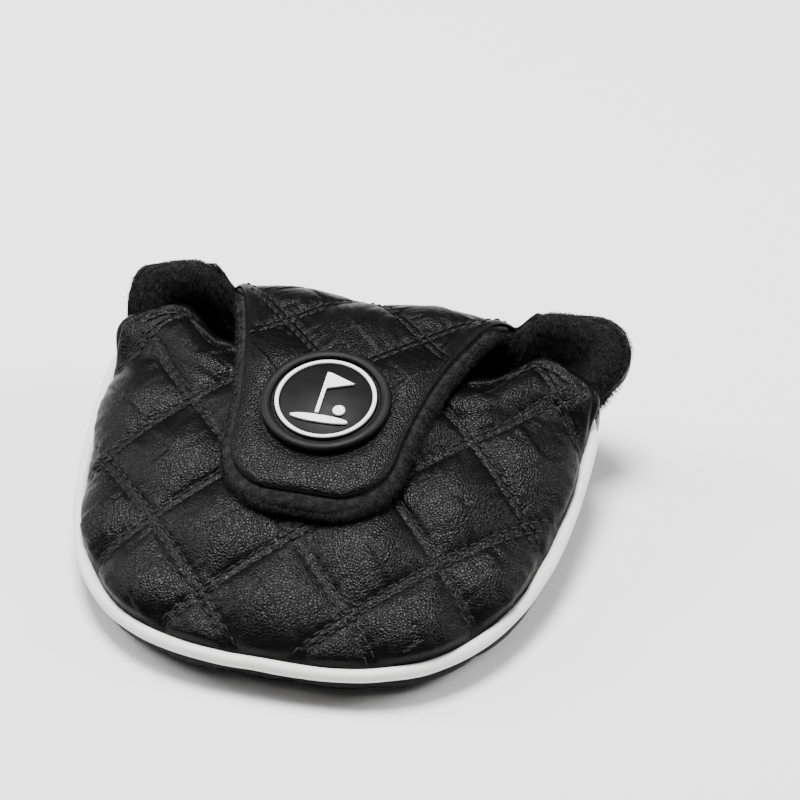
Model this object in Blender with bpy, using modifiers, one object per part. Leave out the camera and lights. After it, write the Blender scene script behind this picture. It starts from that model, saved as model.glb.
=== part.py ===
"""Head cover for a mallet putter: a quilted, plush-lined pocket closed by a magnetic flap.

+Z is up and the cover lies on its sole. The putter's face is at +Y, its heel at -X and its toe at +X.
The origin is the middle of the bounding box's bottom face.
"""

import math

import bmesh
import bpy
import numpy as np
from mathutils import Matrix, Vector

MM = 0.001
GAP = 0.3 * MM  # left between pieces that touch

# Plan outline of the leather: a rear and a front half superellipse that meet at the widest line.
HALF_WIDTH = 61.9 * MM
WIDEST_Y = 40.0 * MM
REAR_REACH = 94.1 * MM
REAR_POWER = 2.89
FRONT_REACH = 17.7 * MM
FRONT_POWER = 2.6

# The seam between crown and sole climbs from the rear to the corners of the mouth.
SEAM_REAR_Z = 9.0 * MM
SEAM_RISE_LENGTH = REAR_REACH + 8.0 * MM
FRONT_SEAM_Z = 10.0 * MM
FRONT_SEAM_SHIFT = 14.0 * MM  # width over which the front seam drops at each corner

# Layers, each a thickness.
LEATHER = 1.0 * MM
FOAM = 2.0 * MM
LINING = 2.0 * MM
WALL_LINING = 3.6 * MM
FLAP_FOAM = 1.5 * MM
FLAP_LINING = 2.2 * MM
FOAM_DEPTH = LEATHER + GAP
LINING_DEPTH = FOAM_DEPTH + FOAM + GAP

# Sole.
SOLE_CORNER = 10.0 * MM

# Crown: its middle line rests level near the mouth and slopes to the rear.
CROWN_CENTRE_Y = 8.0 * MM
CROWN_HEIGHT = 34.0 * MM
SEAM_RISE = CROWN_HEIGHT - SEAM_REAR_Z - 5.0 * MM
CROWN_REAR_RISE = 10.2 * MM  # dome over the seam at the rear
CROWN_SLOPE_START_Y = 20.0 * MM
CROWN_SLOPE_RUN = CROWN_SLOPE_START_Y - WIDEST_Y + REAR_REACH
CROWN_SLOPE = (CROWN_HEIGHT - SEAM_REAR_Z - CROWN_REAR_RISE) / CROWN_SLOPE_RUN
CROWN_SLOPE_BLEND = 10.0 * MM
CROWN_PLAN_POWER = 3.0
CROWN_EDGE_POWER = 2.2
MOUTH_CORNER_Y = 30.0 * MM
MOUTH_REACH = 8.5 * MM
MOUTH_POWER = 3.5
MOUTH_SAG = 1.6 * MM
MOUTH_SAG_WIDTH = 26.0 * MM
MOUTH_SAG_LENGTH = 16.0 * MM

# Piping: a tape folded round a cord, its two ends sewn into the seam.
BEAD_RADIUS = 1.7 * MM
CORD_RADIUS = 1.05 * MM
TAPE = 0.35 * MM
TAPE_REACH = 6.0 * MM  # how far the tape runs into the seam
BEAD_OUT = 1.9 * MM  # bead centre outside the leather
PIPING_END_Y = 33.0 * MM

# Face wall, whose upper corners stand up as two ears.
EAR_TOP_Z = CROWN_HEIGHT + 5.0 * MM
EAR_END_DROP = 9.0 * MM
EAR_END_LENGTH = 12.0 * MM
EAR_FLARE = 6.0 * MM
EAR_START = 4.0 * MM  # from the flap's side to the foot of the ear
EAR_CLIMB = 9.0 * MM
EAR_INNER_X = 44.0 * MM
EAR_OUTER_X = 58.0 * MM

# Fold at the top of the wall, where the flap turns over towards the rear.
FOLD_RADIUS = 16.0 * MM
FOLD_CENTRE_Y = WIDEST_Y + FRONT_REACH - 0.7 * MM - FOLD_RADIUS
FOLD_CENTRE_Z = CROWN_HEIGHT + 6.2 * MM - FOLD_RADIUS
FOLD_HALF_WIDTH = 38.0 * MM
FOLD_ANGLE = math.radians(40)
HINGE_OUT = 0.4 * MM  # hinge line outside the leather
ROOT_CLEAR = math.radians(0.7)  # half the angle between wall and flap at the fold

# Flap.
TIP_Y = -20.0 * MM
TIP_HALF_WIDTH = 20.0 * MM
TIP_CORNER = 10.0 * MM
FLAP_SPREAD = 3.0  # half width gained, per metre of length squared
PLUSH_EDGE = 2.2 * MM  # the flap's lining stands out past its leather
FOAM_INSET = 1.2 * MM
FLAP_REST = 2.3 * MM  # under the flap, above the crown
FLAP_BLEND_Y = 30.0 * MM

# Badge on the flap.
BADGE_Y = 6.0 * MM
BADGE_RADIUS = 16.0 * MM
BADGE_HEIGHT = 1.9 * MM
BADGE_RIM = 2.4 * MM
BADGE_GROOVE = 0.9 * MM
BADGE_FACE_HEIGHT = 1.3 * MM
RING_RADIUS = 12.7 * MM
RING_WIDTH = 1.1 * MM
INLAY_HEIGHT = 0.5 * MM

# Magnets, two in the flap over two in the crown.
MAGNET_RADIUS = 5.0 * MM
MAGNET_HEIGHT = 1.2 * MM
MAGNET_X = 10.5 * MM
MAGNET_Y = -10.0 * MM
POCKET_CLEAR = 0.5 * MM

# Quilting: two rows of thread along each side of a diamond.
QUILT_PITCH = 36.0 * MM  # a diamond's diagonal
QUILT_SHIFT = 10.0 * MM  # where a diamond's corner lies on the crown's middle line
FLAP_QUILT_SHIFT = 17.0 * MM  # the same on the flap
ROW_SPACING = 2.0 * MM
THREAD_RADIUS = 0.25 * MM
THREAD_CLEAR = 0.9 * MM  # thread centre above the leather
THREAD_CROSSING = 0.7 * MM  # one thread over another
THREAD_STEP = 5.0 * MM

# Mesh density.
ANGLES = 2 * round((HALF_WIDTH + REAR_REACH + FRONT_REACH) / (8.7 * MM))
REAR_COLUMNS = 2 * round((HALF_WIDTH + REAR_REACH) / (13.0 * MM))
CROWN_RINGS = 6
SOLE_RINGS = 4
WALL_COLUMNS = 30
WALL_ROWS = 6
FLAP_COLUMNS = 10
TIP_ROWS = 3
PIPING_COLUMNS = round((HALF_WIDTH + REAR_REACH) / (3.45 * MM))
PIPING_ROWS = 14
FLAP_ROWS = 7
FOLD_ROWS = 4

COLOURS = {
    "leather": ((0.012, 0.012, 0.013), 0.42, 0.0),
    "foam": ((0.32, 0.32, 0.33), 0.95, 0.0),
    "plush": ((0.006, 0.006, 0.007), 0.98, 0.0),
    "piping": ((0.78, 0.79, 0.76), 0.5, 0.0),
    "cord": ((0.7, 0.7, 0.66), 0.9, 0.0),
    "rubber": ((0.022, 0.022, 0.024), 0.55, 0.0),
    "white_rubber": ((0.86, 0.86, 0.86), 0.45, 0.0),
    "thread": ((0.008, 0.008, 0.008), 0.7, 0.0),
    "magnet": ((0.6, 0.6, 0.62), 0.3, 1.0),
}


# ---------------------------------------------------------------- formulas

def smooth(value):
    """A smooth step from 0 to 1."""
    value = np.clip(value, 0.0, 1.0)
    return value * value * (3.0 - 2.0 * value)


def mix(first, second, share):
    return first + (second - first) * share


def half_width(y, inset=0.0):
    """Half the width of the outline behind the widest line."""
    run = np.clip((WIDEST_Y - y) / (REAR_REACH - inset), 0.0, 1.0)
    return (HALF_WIDTH - inset) * (1.0 - run**REAR_POWER) ** (1.0 / REAR_POWER)


def outline(angle, widest_y, front_reach, front_power, follow, inset=0.0):
    """A closed outline in plan. Angle 0 is the rear and +-90 degrees the widest line. follow is 1 where
    an inset moves the front as well, and 0 where it moves only the sides and the rear."""
    rear = np.cos(angle) >= 0.0
    cosine = np.abs(np.cos(angle))
    rear_y = widest_y - (widest_y - WIDEST_Y + REAR_REACH - inset) * cosine ** (2.0 / REAR_POWER)
    front_y = widest_y + (front_reach - follow * inset) * cosine ** (2.0 / front_power)
    rear_x = half_width(rear_y, inset)
    front_x = half_width(widest_y, inset) * np.abs(np.sin(angle)) ** (2.0 / front_power)
    x = np.sign(np.sin(angle)) * np.where(rear, rear_x, front_x)
    return x, np.where(rear, rear_y, front_y)


def even_angles(first, last, count, *shape):
    """Angles from first to last whose points on an outline are evenly spaced."""
    fine = np.linspace(first, last, 4001)
    x, y = outline(fine, *shape)
    run = np.concatenate([[0.0], np.cumsum(np.hypot(np.diff(x), np.diff(y)))])
    return np.interp(np.linspace(0.0, run[-1], count), run, fine)


SOLE_SHAPE = (WIDEST_Y, FRONT_REACH, FRONT_POWER, 1.0)
CROWN_SHAPE = (MOUTH_CORNER_Y, MOUTH_REACH, MOUTH_POWER, 0.0)
SEAM_CLEAR = TAPE + GAP * 1.5


def seam_z(y):
    rear_y = WIDEST_Y - REAR_REACH
    return SEAM_REAR_Z + SEAM_RISE * np.clip((y - rear_y) / SEAM_RISE_LENGTH, 0.0, 1.0) ** 2


def sole_edge_z(x, y):
    """Top of the sole's turned-up edge, under the piping at the sides and low across the front."""
    side = seam_z(np.minimum(y, WIDEST_Y)) - SEAM_CLEAR
    front = (y > WIDEST_Y) * smooth((HALF_WIDTH - np.abs(x)) / FRONT_SEAM_SHIFT)
    return mix(side, FRONT_SEAM_Z, front)


def crown_dome(x, y):
    """Height of the crown before its edge turns down to the seam."""
    run = CROWN_SLOPE_START_Y - y
    slope = CROWN_SLOPE * 0.5 * (run + np.sqrt(run * run + CROWN_SLOPE_BLEND**2))
    mouth_y = MOUTH_CORNER_Y + MOUTH_REACH
    sag = np.exp(-((x / MOUTH_SAG_WIDTH) ** 2) - ((y - mouth_y) / MOUTH_SAG_LENGTH) ** 2)
    return CROWN_HEIGHT - slope - MOUTH_SAG * sag


def crown_point(angle, turn, depth):
    """A point of the crown, depth under its leather. turn is 0 at the middle and 90 degrees at the edge."""
    edge_x, edge_y = outline(angle, *CROWN_SHAPE)
    sewn = 1.0 - smooth((edge_y - 24.0 * MM) / (12.0 * MM))
    inner_x, inner_y = outline(angle, *CROWN_SHAPE, depth)
    seam = seam_z(edge_y) + SEAM_CLEAR
    edge_x, edge_y = mix(edge_x, inner_x, sewn), mix(edge_y, inner_y, sewn)
    edge_z = mix(crown_dome(edge_x, edge_y) - depth, seam, sewn)
    out = np.sin(turn) ** (2.0 / CROWN_PLAN_POWER)
    up = np.cos(turn) ** (2.0 / CROWN_EDGE_POWER)
    x, y = edge_x * out, CROWN_CENTRE_Y + (edge_y - CROWN_CENTRE_Y) * out
    return x, y, edge_z + (crown_dome(x, y) - depth - edge_z) * up


def crown_z(x, y):
    """Height of the crown's leather over a plan point, found by searching along its ray from the middle."""
    x, y = np.broadcast_arrays(np.asarray(x, float), np.asarray(y, float))
    fine = np.linspace(-math.pi, math.pi, 2881)
    edge_x, edge_y = outline(fine, *CROWN_SHAPE)
    bearing = np.arctan2(edge_x, CROWN_CENTRE_Y - edge_y)
    angle = np.interp(np.arctan2(x, CROWN_CENTRE_Y - y), bearing, fine)
    edge_x, edge_y = outline(angle, *CROWN_SHAPE)
    reach = np.hypot(edge_x, edge_y - CROWN_CENTRE_Y)
    out = np.clip(np.hypot(x, y - CROWN_CENTRE_Y) / reach, 0.0, 1.0)
    return crown_point(angle, np.arcsin(out ** (CROWN_PLAN_POWER / 2.0)), 0.0)[2]


def sole_point(angle, row, depth):
    """A point of the sole. Rows up to SOLE_RINGS turn under the edge; the rest run to the middle."""
    turn = np.clip(row / SOLE_RINGS, 0.0, 1.0) * math.pi / 2.0
    x, y = outline(angle, *SOLE_SHAPE, depth)
    top = sole_edge_z(*outline(angle, *SOLE_SHAPE))
    under_x, under_y = outline(angle, *SOLE_SHAPE, depth + SOLE_CORNER)
    share = 1.0 - np.cos(turn)
    inward = np.clip(row - SOLE_RINGS, 0.0, 2.0) / 2.0
    x, y = mix(x, under_x, share), mix(y, under_y, share)
    x, y = x * (1.0 - inward), y * (1.0 - inward)
    return x, y, depth + (top - depth) * (1.0 - np.sin(turn))


def fold_point(turn, depth):
    """(y, z) on the fold's arc, depth under the leather. Turn 0 faces the front and 90 degrees is the top."""
    radius = FOLD_RADIUS - depth
    return FOLD_CENTRE_Y + radius * np.cos(turn), FOLD_CENTRE_Z + radius * np.sin(turn)


def wall_point(angle, share, depth):
    """A point of the face wall, share of the way up, depth under its leather."""
    x, y = outline(angle, *SOLE_SHAPE)
    step = 1e-4
    x2, y2 = outline(angle + step, *SOLE_SHAPE)
    length = np.hypot(x2 - x, y2 - y)
    out_x, out_y = (y2 - y) / length, -(x2 - x) / length
    bottom = sole_edge_z(x, y) + 2.0 * SEAM_CLEAR
    x, y = outline(angle, *SOLE_SHAPE, depth)
    across = np.abs(x)
    ear = smooth((across - FOLD_HALF_WIDTH - EAR_START) / EAR_CLIMB)
    top = mix(FOLD_CENTRE_Z + FOLD_RADIUS * math.sin(FOLD_ANGLE), EAR_TOP_Z, ear)
    top = top - EAR_END_DROP * (1.0 - smooth((y - WIDEST_Y) / EAR_END_LENGTH))
    flare = EAR_FLARE * smooth((across - EAR_INNER_X) / (EAR_OUTER_X - EAR_INNER_X))
    flare = flare * np.sin(np.clip(share / 0.65, 0.0, 1.0) * math.pi / 2.0)
    upright = (x + out_x * flare, y + out_y * flare, mix(bottom, top, share))
    # Under the flap the wall stands straight to the fold's arc, then leans over along it.
    arc_share = 0.35
    low = share <= 1.0 - arc_share
    climb = np.clip(share / (1.0 - arc_share), 0.0, 1.0)
    turn = (FOLD_ANGLE - ROOT_CLEAR) * np.clip((share - 1.0 + arc_share) / arc_share, 0.0, 1.0)
    arc_y, arc_z = fold_point(turn, depth)
    low_y = mix(y, FOLD_CENTRE_Y + FOLD_RADIUS - depth, smooth(climb))
    folded = (x, np.where(low, low_y, arc_y), np.where(low, mix(bottom, FOLD_CENTRE_Z, climb), arc_z))
    return tuple(mix(f, u, ear) for f, u in zip(folded, upright))


def tongue_z(x, y, thickness):
    """Top of the flap where it lies towards the rear, blending from the fold's arc to the crown."""
    resting = crown_z(x, np.minimum(y, MOUTH_CORNER_Y + MOUTH_REACH - 3.0 * MM)) + FLAP_REST + thickness
    share = smooth((FOLD_CENTRE_Y - y) / (FOLD_CENTRE_Y - FLAP_BLEND_Y + 6.0 * MM))
    return mix(FOLD_CENTRE_Z + FOLD_RADIUS, resting, share)


FLAP_LINING_DEPTH = FOAM_DEPTH + FLAP_FOAM + GAP
FLAP_THICKNESS = FLAP_LINING_DEPTH + FLAP_LINING


def flap_rows(edge):
    """(y, arc turn, length from the tip) of each row of the flap, tip first. edge widens the outline."""
    corner = np.linspace(0.0, math.pi / 2.0, TIP_ROWS + 1)
    tip = TIP_Y - edge + (TIP_CORNER + edge) * (1.0 - np.cos(corner))
    flat = np.linspace(tip[-1], FOLD_CENTRE_Y, FLAP_ROWS + 1)[1:]
    y = np.concatenate([tip, flat])
    turn = np.linspace(math.pi / 2.0, FOLD_ANGLE + ROOT_CLEAR, FOLD_ROWS + 1)[1:]
    length = np.concatenate([y - TIP_Y, FOLD_CENTRE_Y - TIP_Y + FOLD_RADIUS * (math.pi / 2.0 - turn)])
    turns = np.concatenate([np.full(len(y), math.pi / 2.0), turn])
    return np.concatenate([y, np.full(len(turn), FOLD_CENTRE_Y)]), turns, length


def flap_half_width(y, length, edge):
    """Half width of the flap: it spreads towards the fold, and its tip has round corners."""
    width = TIP_HALF_WIDTH + FLAP_SPREAD * np.maximum(length, 0.0) ** 2
    radius = TIP_CORNER + edge
    into = np.clip(radius - (y - TIP_Y + edge), 0.0, radius)
    spread = np.where(length > FOLD_CENTRE_Y - TIP_Y, 0.0, 1.0)
    cut = radius - np.sqrt(radius * radius - into * into)
    return np.minimum(width + edge * spread, FOLD_HALF_WIDTH) - cut


def flap_point(across, row, depth, edge):
    """A point of the flap. across runs from -1 to 1, row from the tip to the fold."""
    y, turn, length = (values[row] for values in flap_rows(edge))
    x = across * flap_half_width(y, length, edge)
    arc_y, arc_z = fold_point(turn, depth)
    on_arc = turn < math.pi / 2.0 - 1e-6
    return x, np.where(on_arc, arc_y, y), np.where(on_arc, arc_z, tongue_z(x, y, FLAP_THICKNESS) - depth)


# ---------------------------------------------------------------- building

def collection(name):
    made = bpy.data.collections.new(name)
    bpy.context.scene.collection.children.link(made)
    return made


def material(name):
    colour, roughness, metallic = COLOURS[name]
    made = bpy.data.materials.get(name)
    if made is None:
        made = bpy.data.materials.new(name)
        made.use_nodes = True
        shader = made.node_tree.nodes["Principled BSDF"]
        shader.inputs["Base Color"].default_value = (*colour, 1.0)
        shader.inputs["Roughness"].default_value = roughness
        shader.inputs["Metallic"].default_value = metallic
    return made


def add_object(name, data, finish, where):
    made = bpy.data.objects.new(name, data)
    where.objects.link(made)
    if finish:
        data.materials.append(material(finish))
    return made


def grid_places(verts, columns, rows):
    """Column and row of each vertex of a flat unit grid."""
    flat = np.array([v.co for v in verts])
    return np.rint((flat[:, 0] + 0.5) * columns).astype(int), np.rint((flat[:, 1] + 0.5) * rows).astype(int)


def move(verts, points):
    for vertex, point in zip(verts, np.stack(points, axis=1)):
        vertex.co = point


def finished(name, bm, finish):
    mesh = bpy.data.meshes.new(name)
    bm.to_mesh(mesh)
    bm.free()
    made = add_object(name, mesh, finish, PARTS)
    mesh.shade_smooth()
    mesh.set_sharp_from_angle(angle=math.radians(40))
    return made


def layer(name, columns, rows, place, depth, thickness, finish, wrap=False):
    """A layer between two sheets, place(column, row, depth) at its two depths.

    A flat grid is extruded, and then both of its sides are moved to their sheets. A wrapped layer is a dish:
    its columns close round and its row 0 is a pole, so its walls there are taken out before the seam merges.
    """
    bm = bmesh.new()
    bmesh.ops.create_grid(bm, x_segments=columns, y_segments=rows, size=0.5)
    made = bmesh.ops.extrude_face_region(bm, geom=list(bm.faces), use_keep_orig=True)["geom"]
    inner = set(made)
    bm.verts.index_update()
    verts = list(bm.verts)
    column, row = grid_places(verts, columns, rows)
    level = np.where([v in inner for v in verts], depth + thickness, depth)
    if wrap:
        ends = ((column == 0), (column == columns), (row == 0))
        walls = [f for f in bm.faces if any(all(end[v.index] for v in f.verts) for end in ends)]
        bmesh.ops.delete(bm, geom=walls, context="FACES_ONLY")
    move(verts, place(column, row, level))
    if wrap:
        bmesh.ops.remove_doubles(bm, verts=bm.verts, dist=0.001 * MM)
    bmesh.ops.recalc_face_normals(bm, faces=bm.faces)
    if bm.calc_volume(signed=True) < 0.0:
        bmesh.ops.reverse_faces(bm, faces=bm.faces)
    return finished(name, bm, finish)


def cut(obj, cutter):
    boolean = obj.modifiers.new("cut_" + cutter.name, "BOOLEAN")
    boolean.operation = "DIFFERENCE"
    boolean.object = cutter


def cylinder(name, radius, height, finish, where, segments=24):
    bm = bmesh.new()
    bmesh.ops.create_cone(bm, cap_ends=True, segments=segments, radius1=radius, radius2=radius, depth=height)
    mesh = bpy.data.meshes.new(name)
    bm.to_mesh(mesh)
    bm.free()
    made = add_object(name, mesh, finish, where)
    mesh.shade_smooth()
    mesh.set_sharp_from_angle(angle=math.radians(40))
    return made


def helper(obj):
    obj.hide_render = True
    obj.display_type = "WIRE"


def threads(name, routes, finish="thread", radius=THREAD_RADIUS):
    """Thin tubes along routes of points, as one node."""
    curve = bpy.data.curves.new(name, "CURVE")
    curve.dimensions = "3D"
    curve.bevel_depth = radius
    curve.bevel_resolution = 0
    curve.use_fill_caps = True
    for route in routes:
        spline = curve.splines.new("POLY")
        spline.points.add(len(route) - 1)
        for point, place in zip(spline.points, route):
            point.co = (*place, 1.0)
    return add_object(name, curve, finish, PARTS)


# ---------------------------------------------------------------- sole, crown and wall

def wall_angles():
    """Angles of the wall's columns from one end to the other, with one column at each side of the fold."""
    fine = np.linspace(math.pi / 2.0, math.pi, 4001)
    side = np.interp(-(FOLD_HALF_WIDTH + GAP), -outline(fine, *SOLE_SHAPE)[0], fine)
    corner = even_angles(math.pi / 2.0, side, WALL_COLUMNS // 3 + 1, *SOLE_SHAPE)
    middle = even_angles(side, math.pi, WALL_COLUMNS // 6 + 1, *SOLE_SHAPE)
    right = np.concatenate([corner, middle[1:]])
    return np.concatenate([right, 2.0 * math.pi - right[::-1][1:]])


def build_sole():
    """The sole's columns at the front are the wall's, so that the two edges run side by side."""
    front = wall_angles()
    rear = even_angles(-math.pi / 2.0, math.pi / 2.0, REAR_COLUMNS + 1, *SOLE_SHAPE)
    angles = np.concatenate([rear[:-1], front])
    columns = len(angles) - 1
    rows = SOLE_RINGS + 2
    layers = (("sole_shell", 0.0, LEATHER, "leather"), ("sole_foam", FOAM_DEPTH, FOAM, "foam"),
              ("sole_lining", LINING_DEPTH, LINING, "plush"))
    for name, depth, thickness, finish in layers:
        def place(column, row, level):
            return sole_point(angles[column], rows - row, level)
        layer(name, columns, rows, place, depth, thickness, finish, wrap=True)


def build_crown():
    angles = even_angles(-math.pi, math.pi, ANGLES + 1, *CROWN_SHAPE)
    turns = np.linspace(0.0, math.pi / 2.0, CROWN_RINGS + 1)
    layers = (("crown_shell", 0.0, LEATHER, "leather"), ("crown_foam", FOAM_DEPTH, FOAM, "foam"),
              ("crown_lining", LINING_DEPTH, LINING, "plush"))
    for name, depth, thickness, finish in layers:
        def place(column, row, level):
            return crown_point(angles[column], turns[row], level)
        layer(name, ANGLES, CROWN_RINGS, place, depth, thickness, finish, wrap=True)


def build_wall():
    angles = wall_angles()
    layers = (("face_shell", 0.0, LEATHER, "leather"), ("face_foam", FOAM_DEPTH, FOAM, "foam"),
              ("face_lining", LINING_DEPTH, WALL_LINING, "plush"))
    for name, depth, thickness, finish in layers:
        def place(column, row, level):
            return wall_point(angles[column], row / WALL_ROWS, level)
        layer(name, len(angles) - 1, WALL_ROWS, place, depth, thickness, finish)


# ---------------------------------------------------------------- piping

def piping_point(angle, across, up):
    """A point of the piping in its section: across runs outward and up is +Z, from the bead's centre."""
    x, y = outline(angle, *SOLE_SHAPE, -BEAD_OUT - across)
    return x, y, seam_z(outline(angle, *SOLE_SHAPE)[1]) + up


def build_piping():
    """The bead runs from one corner of the mouth round the rear to the other."""
    fine = np.linspace(-math.pi / 2.0, math.pi / 2.0, 4001)
    first, last = fine[np.flatnonzero(outline(fine, *SOLE_SHAPE)[1] <= PIPING_END_Y)[[0, -1]]]
    angles = even_angles(first, last, PIPING_COLUMNS + 1, *SOLE_SHAPE)
    half_gap = TAPE + 0.05 * MM
    bead = np.radians(np.linspace(165.0, -165.0, PIPING_ROWS - 3))
    tape = [(-TAPE_REACH, half_gap), (-BEAD_RADIUS - 0.2 * MM, half_gap)]
    profile = tape + [(BEAD_RADIUS * math.cos(a), BEAD_RADIUS * math.sin(a)) for a in bead]
    profile = np.array(profile + [(across, -up) for across, up in tape[::-1]])

    def place(column, row):
        return piping_point(angles[column], profile[row, 0], profile[row, 1])
    bm = bmesh.new()
    bmesh.ops.create_grid(bm, x_segments=PIPING_COLUMNS, y_segments=PIPING_ROWS, size=0.5)
    verts = list(bm.verts)
    move(verts, place(*grid_places(verts, PIPING_COLUMNS, PIPING_ROWS)))
    cover = finished("piping_cover", bm, "piping")
    solid = cover.modifiers.new("thickness", "SOLIDIFY")
    solid.thickness = TAPE
    solid.offset = 1.0
    route = np.stack(piping_point(angles, 0.0, 0.0), axis=1)
    cord = threads("piping_cord", [route], "cord", CORD_RADIUS)
    cord.data.bevel_resolution = 2


# ---------------------------------------------------------------- flap

def build_flap():
    rows = TIP_ROWS + FLAP_ROWS + FOLD_ROWS
    layers = (
        ("flap_shell", 0.0, LEATHER, 0.0, "leather"),
        ("flap_foam", FOAM_DEPTH, FLAP_FOAM, -FOAM_INSET, "foam"),
        ("flap_lining", FLAP_LINING_DEPTH, FLAP_LINING, PLUSH_EDGE, "plush"),
    )
    for name, depth, thickness, edge, finish in layers:
        def place(column, row, level, edge=edge):
            return flap_point(2.0 * column / FLAP_COLUMNS - 1.0, row, level, edge)
        layer(name, FLAP_COLUMNS, rows, place, depth, thickness, finish)


def flap_frame(x, y, depth):
    """Location and turn of something flat at a place on the flap."""
    step = 2.0 * MM
    rise = float(tongue_z(x, y + step, FLAP_THICKNESS) - tongue_z(x, y - step, FLAP_THICKNESS))
    tilt = math.atan2(rise, 2.0 * step)
    normal = Vector((0.0, -math.sin(tilt), math.cos(tilt)))
    top = Vector((x, y, float(tongue_z(x, y, FLAP_THICKNESS))))
    return Matrix.Translation(top - normal * depth) @ Matrix.Rotation(tilt, 4, "X")


def crown_frame(x, y, depth):
    """Location and turn of something flat at a place on the crown."""
    step = 2.0 * MM
    tilt = math.atan2(float(crown_z(x, y + step) - crown_z(x, y - step)), 2.0 * step)
    lean = math.atan2(float(crown_z(x + step, y) - crown_z(x - step, y)), 2.0 * step)
    turn = Matrix.Rotation(tilt, 4, "X") @ Matrix.Rotation(-lean, 4, "Y")
    top = Vector((x, y, float(crown_z(x, y))))
    return Matrix.Translation(top - (turn @ Vector((0.0, 0.0, 1.0))) * depth) @ turn


def build_magnets():
    for group, frame, foam_thickness in (("crown", crown_frame, FOAM), ("flap", flap_frame, FLAP_FOAM)):
        middle = FOAM_DEPTH + foam_thickness / 2.0
        foam = bpy.data.objects[group + "_foam"]
        for side, x in (("left", -MAGNET_X), ("right", MAGNET_X)):
            name = f"{group}_magnet_{side}"
            magnet = cylinder(name, MAGNET_RADIUS, MAGNET_HEIGHT, "magnet", PARTS)
            magnet.matrix_world = frame(x, MAGNET_Y, middle)
            pocket = cylinder(name + "_pocket", MAGNET_RADIUS + POCKET_CLEAR, 4.0 * FOAM, None, HELPERS)
            helper(pocket)
            pocket.matrix_world = magnet.matrix_world
            cut(foam, pocket)


def turned(name, profile, finish, where, steps=40):
    """A turned solid from an (r, z) profile that runs down its outer side."""
    mesh = bpy.data.meshes.new(name)
    edges = [(i, i + 1) for i in range(len(profile) - 1)]
    mesh.from_pydata([(r, 0.0, z) for r, z in profile], edges, [])
    made = add_object(name, mesh, finish, where)
    screw = made.modifiers.new("turn", "SCREW")
    screw.steps = screw.render_steps = steps
    screw.use_merge_vertices = True
    screw.merge_threshold = 0.01 * MM
    return made


def flat_shape(name, points, thickness, finish, where):
    """A closed plate with a flat outline, its middle on z = 0."""
    curve = bpy.data.curves.new(name, "CURVE")
    curve.dimensions = "2D"
    curve.fill_mode = "BOTH"
    curve.extrude = thickness / 2.0
    spline = curve.splines.new("POLY")
    spline.points.add(len(points) - 1)
    for point, (x, y) in zip(spline.points, points):
        point.co = (x, y, 0.0, 1.0)
    spline.use_cyclic_u = True
    return add_object(name, curve, finish, where)


def ellipse(x, y, half_x, half_y, count=20):
    turns = np.linspace(0.0, 2.0 * math.pi, count, endpoint=False)
    return [(x + half_x * math.cos(t), y + half_y * math.sin(t)) for t in turns]


def emblem_outlines():
    """A golf flag beside its ball on a green, in the badge's plane."""
    pole_x, pole = -1.0 * MM, 0.45 * MM
    foot, head = -5.0 * MM, 8.0 * MM
    pennant_foot = head - 5.0 * MM
    flag = [(pole_x - pole, foot), (pole_x + pole, foot), (pole_x + pole, pennant_foot),
            (pole_x + 7.0 * MM, (head + pennant_foot) / 2.0), (pole_x + pole, head), (pole_x - pole, head)]
    ball = ellipse(4.2 * MM, -3.4 * MM, 1.5 * MM, 1.5 * MM)
    green = ellipse(0.0, -6.8 * MM, 7.2 * MM, 1.1 * MM, 28)
    return {"badge_flag": flag, "badge_ball": ball, "badge_green": green}


def build_badge():
    seat = flap_frame(0.0, BADGE_Y, -GAP - 0.15 * MM)
    rim_inner = BADGE_RADIUS - BADGE_RIM
    face_radius = rim_inner - BADGE_GROOVE
    floor = 0.6 * MM
    bevel = 0.4 * MM
    face = [(0.0, BADGE_FACE_HEIGHT), (face_radius, BADGE_FACE_HEIGHT)]
    groove = [(face_radius, floor), (rim_inner, floor)]
    rim = [(rim_inner, BADGE_HEIGHT - bevel), (rim_inner + bevel, BADGE_HEIGHT),
           (BADGE_RADIUS - bevel, BADGE_HEIGHT), (BADGE_RADIUS, BADGE_HEIGHT - bevel)]
    profile = face + groove + rim + [(BADGE_RADIUS, 0.0), (0.0, 0.0)]
    turned("badge_base", profile, "rubber", PARTS).matrix_world = seat
    low = BADGE_FACE_HEIGHT + GAP
    high = low + INLAY_HEIGHT
    ring = [(RING_RADIUS - RING_WIDTH, high), (RING_RADIUS - GAP, high), (RING_RADIUS - GAP, low),
            (RING_RADIUS - RING_WIDTH, low), (RING_RADIUS - RING_WIDTH, high)]
    turned("badge_ring", ring, "white_rubber", PARTS).matrix_world = seat
    for name, points in emblem_outlines().items():
        plate = flat_shape(name, points, INLAY_HEIGHT, "white_rubber", PARTS)
        plate.matrix_world = seat @ Matrix.Translation((0.0, 0.0, (low + high) / 2.0))
    groove = face_radius + BADGE_GROOVE / 2.0
    turns = np.linspace(0.0, 2.0 * math.pi, 49)
    stitch_z = floor + THREAD_RADIUS * 0.6 + GAP
    loops = [[(groove * math.cos(t), groove * math.sin(t), stitch_z) for t in turns[:-1]]]
    thread = threads("badge_thread", loops, radius=THREAD_RADIUS * 0.6)
    thread.data.splines[0].use_cyclic_u = True
    thread.data.use_fill_caps = False
    thread.matrix_world = seat


# ---------------------------------------------------------------- stitching

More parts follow.
